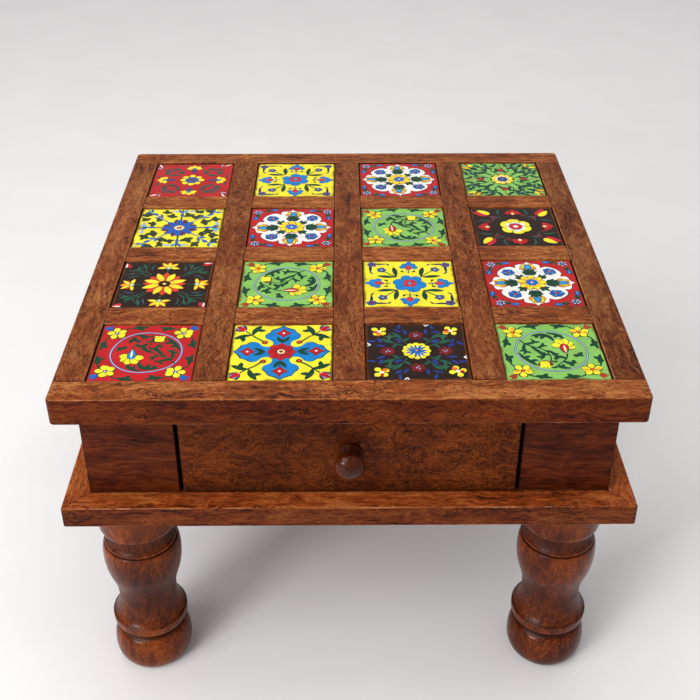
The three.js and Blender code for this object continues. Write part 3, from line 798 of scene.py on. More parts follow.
def tile_cross(p):
    """A pointed quatrefoil with a red flower in the middle."""
    half = [
        (0, 0.96), (0.03, 0.915), (0.08, 0.87), (0.15, 0.83), (0.215, 0.8), (0.245, 0.75), (0.265, 0.69),
        (0.31, 0.645), (0.345, 0.59), (0.345, 0.53), (0.325, 0.475), (0.285, 0.44), (0.235, 0.415),
        (0.195, 0.37), (0.17, 0.31), (0.17, 0.25), (0.19, 0.2),
    ]
    side = half[::-1] + [(-x, y) for x, y in half[1:]]
    outline = []
    for q in range(4):
        c, s = math.cos(q * TAU / 4), math.sin(q * TAU / 4)
        outline += [(x * c - y * s, x * s + y * c) for x, y in side]
    for scale, paint in ((1.022, "navy"), (1, "blue")):
        p.layer += 1
        outer = [(x * scale, y * scale) for x, y in outline]
        p.lay(outer, [(x * 0.99, y * 0.99) for x, y in outer], paint)
    for _ in eighths(p):
        p.brush([(0.6, 0.6), (0.585, 0.72), (0.53, 0.84), (0.46, 0.96)], 0.062, "leaf", ((0.6, 200, 0.19),),
                skew=1.15)
    for _ in quarters(p):
        p.stem([(0.35, 0.35), (0.5, 0.52), (0.62, 0.62), (0.82, 0.82)], 0.02, "leaf")
        p.dot(0.33, 0.34, 0.05, "rust", edge=0.014, rim="dark_red")
        p.dot(0.325, 0.345, 0.022, "orange")
        for heading, paint in ((10, "purple"), (80, "purple"), (28, "pale_blue"), (62, "pale_blue")):
            p.leaf(0.76, 0.76, heading, 0.22, 0.042, paint, skew=0.9, edge=0.01, rim="navy")
        p.leaf(0.74, 0.74, 45, 0.26, 0.06, "red", edge=0.01, rim="wine")
        p.leaf(0.78, 0.74, 20, 0.14, 0.024, "crimson", 30)
        p.leaf(0.74, 0.78, 70, 0.14, 0.024, "crimson", -30)
        p.dot(0.755, 0.755, 0.022, "white")
        # The diamond flower and its leaves, in each lobe
        for heading, bend, size in ((58, 12, 0.27), (122, -12, 0.27), (74, 0, 0.16), (106, 0, 0.16)):
            p.leaf(0, 0.31, heading, size, 0.042, "leaf", bend, skew=1.1)
        p.stem([(0, 0.46), (0, 0.6)], 0.012, "wine")
        p.leaf(0, 0.72, 90, 0.16, 0.022, "dark_red", skew=0.7)
        diamond = lambda a: 0.145 * (1 - 0.4 * abs(math.sin(2 * a)) ** 0.8)
        p.blob(0, 0.67, diamond, "red", steps=32, edge=0.016, rim="dark_red")
        p.dot(0, 0.67, 0.058, "crimson", edge=0.008, rim="dark_red")
        p.dot(0, 0.675, 0.032, "white")
    p.petals(0, 0, 8, 0.03, 0.26, 0.088, "red", skew=1.25, blunt=0.7, edge=0.013, rim="dark_red")
    p.petals(0, 0, 8, 0.08, 0.16, 0.016, "dark_red")
    p.dot(0, 0, 0.085, "cream", edge=0.012)
    p.dot(0, 0, 0.05, "rust")
    p.dot(0, 0, 0.022, "leaf")


def tile_disc_black(p):
    """A scalloped disc with a rayed star, red flowers and leaf sprays on black."""
    for _ in eighths(p):
        p.stem([(0.18, 0.24), (0.3, 0.44), (0.44, 0.56)], 0.014, "teal")
        p.leaf(0.3, 0.44, 68 + p.stray(12), 0.3, 0.044, "teal", -25)
        p.leaf(0.4, 0.52, 20 + p.stray(12), 0.24, 0.037, "moss", -30)
        p.leaf(0.24, 0.36, 118, 0.17, 0.032, "teal", 40)
        p.stem([(0.2, 0.56), (0.32, 0.72), (0.38, 0.92)], 0.011, "navy")
        for x, y, heading in ((0.18, 0.62, 75), (0.3, 0.68, 20), (0.36, 0.8, 110), (0.32, 0.28, 60)):
            p.leaf(x, y, heading + p.stray(20), 0.19, 0.032, "deep_blue")
    for _ in quarters(p):
        p.flower(0, 0.57, 0.155, 6, "maroon", 0.42, 1, turn=90 + p.stray(20))
        p.petals(0, 0.57, 6, 0.03, 0.12, 0.026, "dark_red", turn=60)
        for x, y in ((-0.025, 0.6), (0.03, 0.57), (-0.01, 0.53)):
            p.dot(x, y, 0.022, "pale_blue")
        p.petals(0.71, 0.73, 4, 0.035, 0.14, 0.062, "yellow", turn=45 + p.stray(30), skew=1.3, blunt=0.6,
                 uneven=0.12)
        p.leaf(0.71, 0.73, 200 + p.stray(40), 0.17, 0.055, "orange", skew=1.3)
        p.leaf(0.71, 0.73, 130 + p.stray(40), 0.14, 0.04, "red", skew=1.3)
        p.dot(0.71, 0.73, 0.044, "white")
        p.leaf(0.22, 0.9, 50, 0.13, 0.016, "white")
        p.leaf(0.22, 0.9, 115, 0.11, 0.014, "white")
    p.flower(0, 0, 0.325, 12, "black", 0.14, 0.7)
    p.flower(0, 0, 0.295, 12, "yellow", 0.16, 0.6)
    p.petals(0, 0, 13, 0.02, 0.215, 0.03, "royal", uneven=0.08)
    p.dot(0, 0, 0.095, "royal")
    p.dot(0, 0.01, 0.035, "orange")


def tile_sunflower_black(p):
    """A sunflower and four half flowers on black."""
    for _ in eighths(p):
        p.stem([(0.34, 0.38), (0.44, 0.5), (0.64, 0.58), (0.88, 0.5 + p.stray(0.1))], 0.013, "teal")
        p.stem([(0.44, 0.5), (0.5, 0.68), (0.42, 0.92)], 0.011, "teal")
        p.leaf(0.5, 0.68, 110 + p.stray(30), 0.2, 0.026, "moss", -40)
        p.leaf(0.62, 0.58, 50 + p.stray(30), 0.24, 0.028, "teal", 50)
        p.leaf(0.36, 0.6, 80 + p.stray(20), 0.26, 0.014, "slate", 60)
    for _ in quarters(p):
        p.leaf(0.76, 0.84, 30, 0.22, 0.065, "crimson")
        p.leaf(0.77, 0.93, 0, 0.18, 0.026, "white")
        # The half flower opens away from the middle
        for heading in (72, 108, 20, 160, 50, 130):
            p.leaf(0, 0.74, heading, 0.19, 0.036, "vermilion", skew=1.1)
        p.leaf(0, 0.74, 90, 0.22, 0.046, "orange", skew=1.1)
        for heading, length in ((47, 0.26), (133, 0.26), (90, 0.22), (-8, 0.25), (188, 0.25)):
            paint = "yellow" if heading != 90 or p.hand.random() < 0.5 else "lemon_shade"
            p.leaf(0, 0.72, heading + p.stray(6), length, 0.044, paint, skew=1.15, edge=0.007, rim="rust")
        p.dot(0, 0.7, 0.055, "mint", edge=0.012, rim="moss")
        p.dot(0, 0.71, 0.028, "white")
        p.stem([(0, 0.5), (0, 0.62)], 0.012, "moss")
    p.petals(0, 0, 8, 0.08, 0.4, 0.095, "vermilion", skew=0.95, uneven=0.06)
    p.petals(0, 0, 8, 0.09, 0.39, 0.078, "yellow", turn=112.5, skew=1, blunt=0.8, uneven=0.04, edge=0.009,
             rim="rust")
    p.petals(0, 0, 8, 0.13, 0.16, 0.008, "amber", turn=112.5)
    p.dot(0, 0, 0.13, "ink", edge=0.014, rim="rust")
    p.dot(0, 0, 0.052, "amber")
    p.dot(0, 0, 0.028, "cream")


def tile_palmettes_yellow(p):
    """A lobed blue flower and four palmettes on yellow."""
    for _ in eighths(p):
        p.leaf(0.28, 0.27, 90, 0.44, 0.056, "leaf", -12, skew=1.2, blunt=0.75)
        p.leaf(0.8, 0.85, 186, 0.36, 0.032, "navy", -14, skew=0.7)
        p.leaf(0.48, 0.84, 200, 0.1, 0.022, "navy", 50)
        p.stem([(0.03, 0.5), (0.1, 0.485), (0.15, 0.5)], 0.01, "navy")
        p.leaf(0.11, 0.48, 50, 0.09, 0.03, "ink", 30)
    for _ in quarters(p):
        p.stem([(0.28, 0.29), (0.42, 0.45), (0.55, 0.58)], 0.015, "leaf")
        p.stem([(0, 0.42), (0, 0.6)], 0.014, "navy")
        p.leaf(0, 0.78, 90, 0.195, 0.055, "blue", skew=0.7, edge=0.01, rim="royal")
        lobes = [(0, 0.71, 0.1), (0, 0.83, 0.062), (0, 0.62, 0.05)]
        for side in HANDS:
            for x, y, radius in ((0.135, 0.69, 0.062), (0.085, 0.79, 0.066)):
                lobes.append((side * x, y + p.stray(0.01), radius))
        p.cluster(lobes, "blue", 0.01, "royal")
        p.leaf(0, 0.58, 90, 0.2, 0.08, "crimson", skew=0.9, blunt=0.75)
        p.leaf(0, 0.62, 90, 0.13, 0.032, "vermilion", skew=0.95)
        # The small flower between the leaves, and the one in the corner
        p.flower(0.58, 0.61, 0.11, 5, "slate_blue", 0.3, 0.8, turn=p.stray(40))
        p.petals(0.58, 0.61, 3, 0.02, 0.08, 0.028, "purple", turn=p.stray(60))
        p.dot(0.58, 0.61, 0.03, "pale_blue")
        p.flower(0.82, 0.82, 0.11, 5, "purple", 0.35, 0.8, turn=p.stray(40))
        p.petals(0.82, 0.82, 4, 0.03, 0.08, 0.032, "royal", turn=p.stray(60))
        p.dot(0.82, 0.82, 0.036, "dark_red")
    around = [math.radians(100 + 60 * i + p.stray(10)) for i in range(6)]
    lobes = [(0.225 * math.cos(a), 0.225 * math.sin(a), 0.125 + p.stray(0.015)) for a in around]
    p.cluster(lobes + [(0, 0, 0.17)], "blue", 0.012, "royal")
    for a in around:
        p.leaf(0.12 * math.cos(a), 0.12 * math.sin(a), math.degrees(a), 0.16, 0.01, "royal")
    p.flower(0, 0, 0.165, 4, "crimson", 0.22, 1, turn=45, edge=0.012, rim="royal")
    p.petals(0, 0, 4, 0.05, 0.1, 0.022, "vermilion", turn=0)
    p.dot(0, 0, 0.055, "sky", edge=0.01, rim="dark_red")


def tile_medallion_red(p):
    """A white scalloped medallion round a yellow flower, on red."""
    marks = [
        (0, 0.94), (1.5, 0.9), (4, 0.865), (8, 0.85), (13, 0.85), (17, 0.845), (19.5, 0.825), (21.2, 0.76),
        (22.5, 0.7), (24, 0.72), (26.5, 0.775), (30, 0.82), (36, 0.85), (45, 0.86),
    ]

    def reach(a):
        near = abs((math.degrees(a) + 45) % 90 - 45)  # degrees from the nearest quarter
        for (low, at_low), (high, at_high) in zip(marks, marks[1:]):
            if near <= high:
                return at_low + (at_high - at_low) * (near - low) / (high - low)
        return marks[-1][1]

    p.blob(0, 0, lambda a: reach(a) + 0.014, "wine", steps=180)
    p.blob(0, 0, reach, "white", steps=180)
    for _ in eighths(p):
        # On the red, beside each corner
        p.leaf(0.36, 0.89, 0, 0.2, 0.055, "royal", 10, skew=1, blunt=0.7, edge=0.01, rim="navy")
        p.leaf(0.38, 0.89, 0, 0.12, 0.026, "sky")
        p.flower(0.62, 0.85, 0.085, 4, "leaf", 0.3, 0.8, turn=p.stray(40))
        p.leaf(0.6, 0.76, 60, 0.1, 0.03, "rust")
    for _ in quarters(p):
        p.petals(0.81, 0.82, 6, 0.03, 0.08, 0.034, "pale_blue", skew=1.3, blunt=0.7, edge=0.008, rim="navy")
        p.dot(0.81, 0.82, 0.052, "navy")
        p.dot(0.815, 0.825, 0.02, "white")
        # The palmette in each long lobe
        for heading, size, at in ((38, 0.23, 0.56), (142, 0.23, 0.56), (68, 0.27, 0.58), (112, 0.27, 0.58)):
            p.leaf(0, at, heading, size, 0.078, "amber", skew=1.3, blunt=0.65, edge=0.008, rim="rust")
        for heading in (60, 120):
            p.leaf(0, 0.56, heading, 0.24, 0.05, "yellow", skew=1.3)
        p.leaf(0, 0.54, 90, 0.27, 0.088, "royal", skew=0.95, blunt=0.75, edge=0.008, rim="navy")
        p.leaf(0, 0.565, 90, 0.21, 0.064, "sky", skew=0.95)
        p.leaf(0, 0.32, 90, 0.3, 0.09, "leaf", skew=0.95)
        for side in HANDS:
            for y, turn, length, width, bend in (
                (0.4, 34, 0.24, 0.055, 10), (0.36, 58, 0.22, 0.05, 15), (0.34, 84, 0.15, 0.036, 30),
            ):
                p.leaf(0, y, 90 - side * turn, length, width, "leaf", side * bend)
        # The dark leaf and the blue flower in each short lobe
        for heading, size in ((45, 0.2), (5, 0.16), (85, 0.16)):
            p.leaf(0.2, 0.2, heading + p.stray(6), size, 0.046, "leaf")
        p.stem([(0.17, 0.17), (0.36, 0.36)], 0.018, "leaf")
        p.petals(0.455, 0.475, 6, 0.03, 0.12, 0.055, "royal", skew=1.3, blunt=0.7, uneven=0.1, edge=0.008,
                 rim="navy")
        p.petals(0.455, 0.475, 3, 0.03, 0.09, 0.026, "sky", uneven=0.2)
        p.dot(0.45, 0.47, 0.036, "crimson")
    p.petals(0, 0, 9, 0.07, 0.235, 0.075, "yellow", skew=1.4, blunt=0.6, uneven=0.07, edge=0.016,
             rim="rust")
    p.petals(0, 0, 9, 0.1, 0.13, 0.02, "amber", uneven=0.07)
    p.flower(0, 0, 0.145, 7, "bright_blue", 0.2, 0.8, edge=0.012, rim="amber")
    p.petals(0, 0, 5, 0.03, 0.08, 0.018, "sky")
    p.dot(0, 0, 0.034, "cream")


def tile_star_yellow(p):
    """A blue star over dark red petals, with ivy leaves on every side, on yellow."""

    def ivy(x, y, heading, size):
        for turn, share in ((0, 1.1), (82, 0.95), (-82, 0.95), (180, 0.55)):
            p.leaf(x, y, heading + turn + p.stray(18), size * share, 0.36 * size, "ivy", skew=0.7,
                   blunt=0.6)

    for _ in quarters(p):
        for x, y, heading in (
            (0.19, 0.66, 100), (0.38, 0.82, 60), (0.57, 0.24, 10),
            (0.79, 0.43, 30), (0.36, 0.52, 80), (0.66, 0.86, 20),
        ):
            size = 0.15 if heading > 25 else 0.165
            ivy(x + p.stray(0.03), y + p.stray(0.03), heading + p.stray(30), size + p.stray(0.02))
        for side in HANDS:
            p.leaf(0.84, 0.1 * side, 70 * side, 0.2, 0.042, "pale_blue", 30 * side)
        # The blue diagonal, with a leaf at each swelling
        for width, paint in ((0.034, "yellow"), (0.024, "royal")):
            p.stem([(0.3, 0.32), (0.5, 0.52), (0.72, 0.7), (0.96, 0.94)], width, paint)
        for share, side in ((0.5, 1), (0.52, -1), (0.76, 1), (0.78, -1)):
            p.leaf(share, share, 45 + side * 62, 0.18, 0.036, "royal", -side * 40)
        p.leaf(0.62, 0.6, 45, 0.2, 0.05, "royal")
        p.leaf(0.5, 0.48, 10, 0.1, 0.024, "purple")
        # The stem towards the middle of each side
        p.stem([(0, 0.36), (0, 0.6), (0, 0.94)], 0.022, "wine")
        p.leaf(0, 0.52, 90, 0.28, 0.04, "royal", skew=1)
        for side in HANDS:
            p.leaf(0.02 * side, 0.78, 90 - side * 40, 0.19, 0.045, "sky" if side > 0 else "royal",
                   side * 30)
    p.petals(0, 0, 12, 0.06, 0.37, 0.08, "purple", turn=105, skew=1.35, blunt=0.7)
    p.petals(0, 0, 8, 0.06, 0.33, 0.055, "maroon", turn=112.5, skew=1.3)
    p.petals(0, 0, 8, 0.04, 0.385, 0.085, "royal", skew=1.25, blunt=0.75, uneven=0.06)
    p.petals(0, 0, 8, 0.1, 0.24, 0.03, "bright_blue")
    p.dot(0, 0, 0.115, "cream", edge=0.012, rim="amber")
    p.dot(0, 0, 0.062, "rust", edge=0.01, rim="navy")
    p.dot(0, 0, 0.022, "cream")


def tile_tulips_black(p):
    """A yellow flower, four red flowers and corner buds on black."""
    for _ in eighths(p):
        p.leaf(0.34, 0.6, 75, 0.34, 0.026, "teal", 50)
        p.leaf(0.5, 0.3, 95, 0.26, 0.016, "slate", -40)
    for _ in quarters(p):
        p.leaf(0.3, 0.56, 150 + p.stray(30), 0.2, 0.06, "maroon", -30)
        p.leaf(0.4, 0.42, 20 + p.stray(30), 0.2, 0.05, "maroon", 30)
        for heading, size in ((90, 0.2), (40, 0.18), (140, 0.18), (5, 0.19), (175, 0.19)):
            p.leaf(0, 0.7, heading + p.stray(6), size, 0.068, "red", skew=1.35, blunt=0.65, edge=0.008,
                   rim="maroon")
        p.leaf(0, 0.6, 90, 0.2, 0.055, "crimson")
        p.dot(0, 0.68, 0.05, "cream")
        p.dot(0, 0.72, 0.03, "lemon_shade")
        p.leaf(0.56, 0.6, 52, 0.4, 0.095, "crimson", 18, skew=0.75, blunt=0.7)
        p.leaf(0.62, 0.56, 40, 0.36, 0.085, "yellow", 24, skew=0.7, blunt=0.7)
    p.dot(0, 0, 0.34, "ink")
    p.petals(0, 0, 6, 0.1, 0.275, 0.155, "yellow", turn=96, skew=1.35, blunt=0.5, uneven=0.06, edge=0.014,
             rim="ink")
    p.petals(0, 0, 6, 0.06, 0.2, 0.085, "white", turn=96, skew=1.2, blunt=0.6, uneven=0.1)
    p.petals(0, 0, 12, 0.14, 0.09, 0.014, "pale_blue", turn=80)
    p.dot(0, 0, 0.15, "crimson", edge=0.016, rim="wine")
    p.dot(0, 0, 0.064, "white")


def tile_flower_red(p):
    """A yellow flower and four half flowers with dark scrolling leaves on red."""
    for _ in eighths(p):
        p.frond(0.3, 0.34, 82, 0.3, 0.06, "slate_green", 70, 1)
        p.frond(0.36, 0.62, 10, 0.26, 0.055, "slate_green", -70, 1)
        p.frond(0.6, 0.34, 40, 0.24, 0.055, "slate_green", 60, 1)
        p.leaf(0.72, 0.52, 100, 0.24, 0.034, "slate_green", 30)
        p.leaf(0.84, 0.14, 70, 0.2, 0.034, "slate_green", 20)
    for _ in quarters(p):
        p.stem([(0.5, 0.5), (0.66, 0.7), (0.86, 0.88)], 0.014, "purple")
        p.leaf(0.66, 0.68, 45, 0.2, 0.044, "rust")
        p.leaf(0.78, 0.84, 30, 0.2, 0.022, "white")
        p.leaf(0.7, 0.82, 75, 0.16, 0.02, "pale_blue")
        p.leaf(0, 0.42, 90, 0.26, 0.075, "purple")
        p.dot(0, 0.66, 0.08, "purple")
        for heading in (0, 45, 90, 135, 180):
            p.leaf(0, 0.68, heading + p.stray(8), 0.2, 0.062, "yellow", skew=1.5, blunt=0.6, edge=0.008,
                   rim="rust")
        p.dot(0, 0.69, 0.062, "slate")
        p.dot(0, 0.7, 0.028, "pale_blue")
    p.dot(0, 0, 0.22, "rust")
    p.petals(0, 0, 8, 0.12, 0.195, 0.083, "yellow", skew=1.4, blunt=0.55, uneven=0.08, edge=0.012,
             rim="rust")
    p.dot(0, 0, 0.18, "slate_blue")
    p.petals(0, 0, 7, 0.02, 0.16, 0.03, "royal")
    p.petals(0, 0, 5, 0.02, 0.12, 0.026, "maroon", turn=70)


def tile_vines_green(p):
    """A round yellow flower in dense dark vines on green."""
    for _ in eighths(p):
        p.stem([(0.1, 0.36), (0.22, 0.52), (0.2, 0.72), (0.34, 0.94)], 0.017, "leaf")
        p.stem([(0.3, 0.28), (0.48, 0.44), (0.72, 0.46), (0.94, 0.56)], 0.016, "leaf")
        for x, y, heading, length, bend, lobes in (
            (0.16, 0.44, 130, 0.3, -90, 2), (0.2, 0.62, 30, 0.34, 90, 3), (0.22, 0.78, 140, 0.26, -90, 2),
            (0.3, 0.88, 10, 0.3, 80, 3), (0.42, 0.42, 100, 0.3, -90, 3), (0.56, 0.62, 10, 0.34, 90, 3),
            (0.6, 0.46, 290, 0.26, 80, 2), (0.78, 0.46, 80, 0.26, -90, 2),
        ):
            p.frond(x, y, heading + p.stray(18), length, 0.05, "leaf", bend, lobes)
        p.leaf(0.8, 0.3, 100, 0.2, 0.04, "slate", 30)
    for _ in quarters(p):
        p.stem([(0.24, 0.24), (0.56, 0.56)], 0.02, "leaf")
        p.stem([(0, 0.44), (0.02, 0.7), (0, 0.92)], 0.014, "rust")
        p.flower(0, 0.55, 0.085, 4, "rust", 0.35, 0.9, turn=p.stray(40), edge=0.012, rim="dark_red")
        p.leaf(0.66, 0.76, 70 + p.stray(20), 0.26, 0.055, "lemon_shade", edge=0.01, rim="leaf")
        p.leaf(0.74, 0.72, 20 + p.stray(20), 0.22, 0.045, "yellow")
        p.leaf(0.84, 0.8, 40, 0.18, 0.04, "rust")
    p.dot(0, 0, 0.315, "leaf")
    p.petals(0, 0, 10, 0.12, 0.175, 0.07, "yellow", skew=1.4, blunt=0.55, edge=0.01, rim="amber")
    p.dot(0, 0, 0.2, "cream", edge=0.012, rim="amber")
    p.petals(0, 0, 9, 0.03, 0.13, 0.044, "navy", skew=1.3)
    p.dot(0, 0, 0.1, "deep_blue")
    p.dot(0, 0, 0.03, "pale_blue")


YELLOW_PALMETTES = ("yellow", tile_palmettes_yellow)
RED_MEDALLION = ("red", tile_medallion_red)

# Ground and design of each tile, row by row from the back
DESIGNS = (
    (("red", tile_flower_red), YELLOW_PALMETTES, RED_MEDALLION, ("green", tile_vines_green)),
    (("yellow", tile_star_yellow), RED_MEDALLION, ("green", ring_green(0)), ("black", tile_tulips_black)),
    (("black", tile_sunflower_black), ("green", ring_green(90)), YELLOW_PALMETTES, RED_MEDALLION),
    (("red", tile_ring_red), ("yellow", tile_cross), ("black", tile_disc_black),
     ("green", ring_green(180))),
)


def painted(name, painting, box, materials):
    """Makes the raised glaze of one tile, lying on its face."""
    low, high = box
    middle = Vector(((low.x + high.x) / 2, (low.y + high.y) / 2, high.z))
    mesh = bpy.data.meshes.new(name)
    mesh.from_pydata([Vector(p) + middle for p in painting.points], [], painting.faces)
    used = sorted(set(painting.paints))
    for paint in used:
        mesh.materials.append(materials[paint])
    slots = {paint: i for i, paint in enumerate(used)}
    mesh.polygons.foreach_set("material_index", [slots[paint] for paint in painting.paints])
    mesh.update()
    return add(name, mesh)


def lay_tiles():
    materials = {}
    for seed, (paint, colour) in enumerate(PAINTS.items()):
        materials[paint] = glaze("glaze_" + paint, colour, seed)
    for row, designs in enumerate(DESIGNS, 1):
        for column, (ground, design) in enumerate(designs, 1):
            name = f"tile_{row}_{column}"
            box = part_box(name)
            dress(name, tile_glaze("ground_" + name, PAINTS[ground], row * 10 + column, box))
            painting = Painting((row - 1) * 4 + column - 1)
            design(painting)
            piece = painted(f"painting_{row}_{column}", painting, box, materials)
            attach(piece, "table")


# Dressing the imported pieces


def dress(name, material):
    piece = nodes[name]
    piece.data.materials.clear()
    piece.data.materials.append(material)


WELD_REACH = 0.001 * MM
EASED_ABOVE = math.radians(50)


def soften(name, width):
    """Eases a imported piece's arrises."""
    piece = nodes[name]
    weld = piece.modifiers.new("weld", "WELD")
    weld.merge_threshold = WELD_REACH
    bevel = piece.modifiers.new("ease", "BEVEL")
    bevel.width = width
    bevel.segments = 2
    bevel.limit_method = "ANGLE"
    bevel.angle_limit = EASED_ABOVE


def shortened(box, axis, cut):
    """A box without the hidden ends of its piece."""
    low, high = list(box[0]), list(box[1])
    low[AXES[axis]] += cut
    high[AXES[axis]] -= cut
    return low, high


FOOT_DARKNESS = 0.85  # how dark the wood is made at the foot of a piece and along the carcase's foot


def darker_inwards(axis, start, way):
    """A darker band from just outside a plane of the carcase inwards."""
    ends = start - way * 0.6 * MM, start + way * 40 * MM
    return axis, min(ends), max(ends), 0.4 * MM, FOOT_DARKNESS


def dress_wood():
    """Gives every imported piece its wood. cut is how much of each end a joint hides."""
    seed = 100

    def stained(name, grain, tones, cut=0.0, ease=0.25 * MM, foot=False, dark_bands=(), **more):
        nonlocal seed
        seed += 1
        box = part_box(name)
        if foot:
            floor = box[0].z
            dark_bands = (*dark_bands, ("z", floor - 2 * MM, floor + 0.7 * MM, 0.6 * MM, FOOT_DARKNESS))
        looks = wood("wood_" + name, grain, seed, tones, shortened(box, grain, cut), dark_bands=dark_bands, **more)
        dress(name, looks)
        if ease:
            soften(name, ease)

    # The base is darker in a thin line along the foot of the carcase
    foot_bands = {
        "left": darker_inwards("x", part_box("carcase_side_left")[0].x, 1),
        "right": darker_inwards("x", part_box("carcase_side_right")[1].x, -1),
        "front": darker_inwards("y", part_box("front_stile_left")[0].y, 1),
        "back": darker_inwards("y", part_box("carcase_back")[1].y, -1),
    }
    tenon = 10 * MM
    # The side rails and the bars get their darker tones as painted shade
    for side, grain, cut, tones in (
        ("left", "y", tenon, SHADED_BAR_TONES), ("front", "x", 0, TOP_TONES),
        ("right", "y", tenon, SHADED_RIGHT_TONES), ("back", "x", 0, TOP_TONES),
    ):
        # The rails' vertical faces are darkened as painted shade
        stained("top_rail_" + side, grain, tones, cut, gloss=0.36, upright=(0.33, 0.19, 0.085), figure=1.2,
                rub=0.8)
        stained("base_rail_" + side, grain, BASE_TONES, gloss=0.38, upright=(0.36, 0.325, 0.28), figure=0.9,
                rub=0.8, dark_bands=(foot_bands[side],))
    for column in (1, 2, 3):
        stained(f"top_bar_{column}", "y", SHADED_BAR_TONES, gloss=0.36, contrast=0.85, figure=1.3, rub=0.25)
    for row in (1, 2, 3):
        for column in (1, 2, 3, 4):
            stained(f"crossbar_{row}_{column}", "x", TOP_TONES, gloss=0.36, figure=1.2, rub=0.25)
    for hand in ("left", "right"):
        stained("front_stile_" + hand, "x", BODY_STAIN_AND_SHADE_TONES, gloss=0.4, relief=0.6, figure=0.3, foot=True)
        stained("carcase_side_" + hand, "y", BODY_STAIN_AND_SHADE_TONES, gloss=0.42, relief=0.7, foot=True)
        stained("drawer_side_" + hand, "y", INNER_TONES, gloss=0.55, contrast=0.7, relief=0.6)
        stained("drawer_guide_" + hand, "y", INNER_TONES, gloss=0.6, contrast=0.7, relief=0.6)
    stained("carcase_back", "x", BODY_STAIN_AND_SHADE_TONES, gloss=0.46, relief=0.8, foot=True)
    stained("base_board", "x", BODY_STAIN_AND_SHADE_TONES, ease=0, gloss=0.5, relief=0.8)
    stained("top_panel", "y", INNER_TONES, gloss=0.6, contrast=0.8)
    # The drawer front is darker left of its knob and towards its foot
    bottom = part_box("drawer_front")[0].z
    patches = (("x", -85 * MM, -10 * MM, 24 * MM, 0.28),
               ("z", bottom - 5 * MM, bottom + 6 * MM, 8 * MM, 0.3))
    stained("drawer_front", "x", DRAWER_TONES, gloss=0.38, contrast=0.9, relief=0.8, figure=1.6, flow=3.0,
            rub=0.2, foot=True, dark_bands=patches)
    stained("drawer_back", "x", INNER_TONES, gloss=0.6, contrast=0.7, relief=0.6)
    stained("drawer_bottom", "x", INNER_TONES, gloss=0.6, contrast=0.7, relief=0.5)


# Bands where the legs are darker, as stain and as painted shade: the neck under the collar, the groove over
# the bun, the waist and the foot
LEG_STAIN_AND_SHADE = (
    ("z", 130 * MM, 142.6 * MM, 2 * MM, 0.5),
    ("z", 34.6 * MM, 40 * MM, 1.5 * MM, 0.6),
    ("z", 55 * MM, 88 * MM, 18 * MM, 0.4),
    ("z", -5 * MM, 4 * MM, 5 * MM, 0.6),
)


def turn_legs():
    for i, name in enumerate(("front_left", "front_right", "back_left", "back_right")):
        low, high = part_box("leg_" + name)
        cx, cy = (low.x + high.x) / 2 / MM, (low.y + high.y) / 2 / MM
        place = lambda r, a, z: (cx + r * math.cos(a), cy + r * math.sin(a), z)
        piece = lathe("turned_leg_" + name, leg_profile(), place, 96)
        keep_edges(piece)
        # The right legs are darker as painted shade
        tones = TURNED_TONES if cx < 0 else SHADED_RIGHT_TURNED_TONES
        looks = wood("turned_wood_" + name, "z", 300 + i, tones, gloss=0.2, contrast=0.7,
                     relief=0.02, figure=0.9, flow=2.2, shine=0.165, dark_bands=LEG_STAIN_AND_SHADE)
        piece.data.materials.append(looks)
        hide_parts("leg_" + name)
        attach(piece, "table")


def turn_knob():
    low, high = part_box("drawer_knob")
    cz = (low.z + high.z) / 2 / MM
    face = low.y / MM + KNOB_LENGTH
    place = lambda r, a, y: (-r * math.cos(a), face - y, cz + r * math.sin(a))
    piece = lathe("turned_knob", knob_profile(), place, 72)
    keep_edges(piece)
    # Painted shade: the knob's neck, behind its head, is darker
    dark_bands = (("y", (face - 12) * MM, (face - 2.5) * MM, 1.5 * MM, 0.6),)
    looks = wood("turned_wood_knob", "y", 310, KNOB_TONES, gloss=0.18, contrast=0.6,
                 relief=0.02, figure=0.3, flow=3.0, shine=0.19, dark_bands=dark_bands)
    piece.data.materials.append(looks)
    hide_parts("drawer_knob")
    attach(piece, "drawer")


# Floor, light and camera


FLOOR_HALF = 6.0

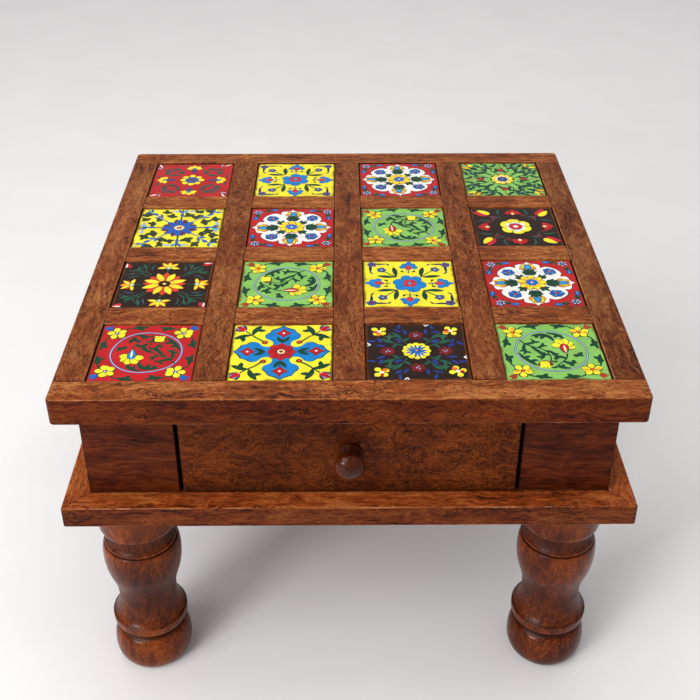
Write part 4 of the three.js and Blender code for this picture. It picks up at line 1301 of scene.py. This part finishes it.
# Name, place, what it points at, size, power and colour
LAMPS = (
    ("key", (-1.15, -1.2, 1.7), (0.0, 0.0, 0.15), (1.5, 0.85), 19, (1.0, 0.985, 0.965)),
    ("low", (-1.3, -1.6, 0.85), (-0.1, -0.15, 0.08), (0.6, 0.4), 17.5, (1.0, 0.985, 0.975)),
    ("top", (0.0, 0.45, 2.2), (0.0, 0.0, 0.25), (1.8, 1.4), 14, (1.0, 0.985, 0.965)),
)


def set_stage():
    mesh = bpy.data.meshes.new("floor")
    corners = ((-1, -1), (1, -1), (1, 1), (-1, 1))
    mesh.from_pydata([(x * FLOOR_HALF, y * FLOOR_HALF, 0) for x, y in corners], [], [(0, 1, 2, 3)])
    floor = add("floor", mesh)
    g = Graph("floor_cloth")
    place = g.node("TexCoord").outputs["Object"]
    cloud = g.noise(place, 9.0, 3.0)
    g.put(g.shader, "Base Color", g.mix(g.remap(cloud, 0.3, 0.7), shade("f5f4f5"), shade("f8f7f8")))
    g.shader.inputs["Roughness"].default_value = 0.85
    mesh.materials.append(g.material)

    world = bpy.data.worlds.new("studio")
    world.use_nodes = True
    background = world.node_tree.nodes["Background"]
    background.inputs["Color"].default_value = (1.0, 0.978, 0.98, 1.0)
    background.inputs["Strength"].default_value = 0.5
    bpy.context.scene.world = world

    for name, place, aim, size, power, colour in LAMPS:
        data = bpy.data.lights.new(name, "AREA")
        data.shape = "RECTANGLE"
        data.size, data.size_y = size
        data.energy = power
        data.color = colour
        lamp = add(name, data)
        lamp.location = place
        lamp.rotation_euler = (Vector(aim) - Vector(place)).to_track_quat("-Z", "Y").to_euler()


LOOKS_DOWN, LOOKS_RIGHT = 33.566, 0.398  # degrees


def set_camera():
    data = bpy.data.cameras.new("camera")
    data.lens = 56.44
    data.sensor_width = 36.0
    camera = add("camera", data)
    camera.location = (-0.0040, -0.8171, 0.7304)
    camera.rotation_euler = (math.radians(90 - LOOKS_DOWN), 0, math.radians(-LOOKS_RIGHT))
    bpy.context.scene.camera = camera
    bpy.context.scene.view_settings.view_transform = "Standard"


dress_wood()
turn_legs()
turn_knob()
lay_tiles()
set_stage()
set_camera()
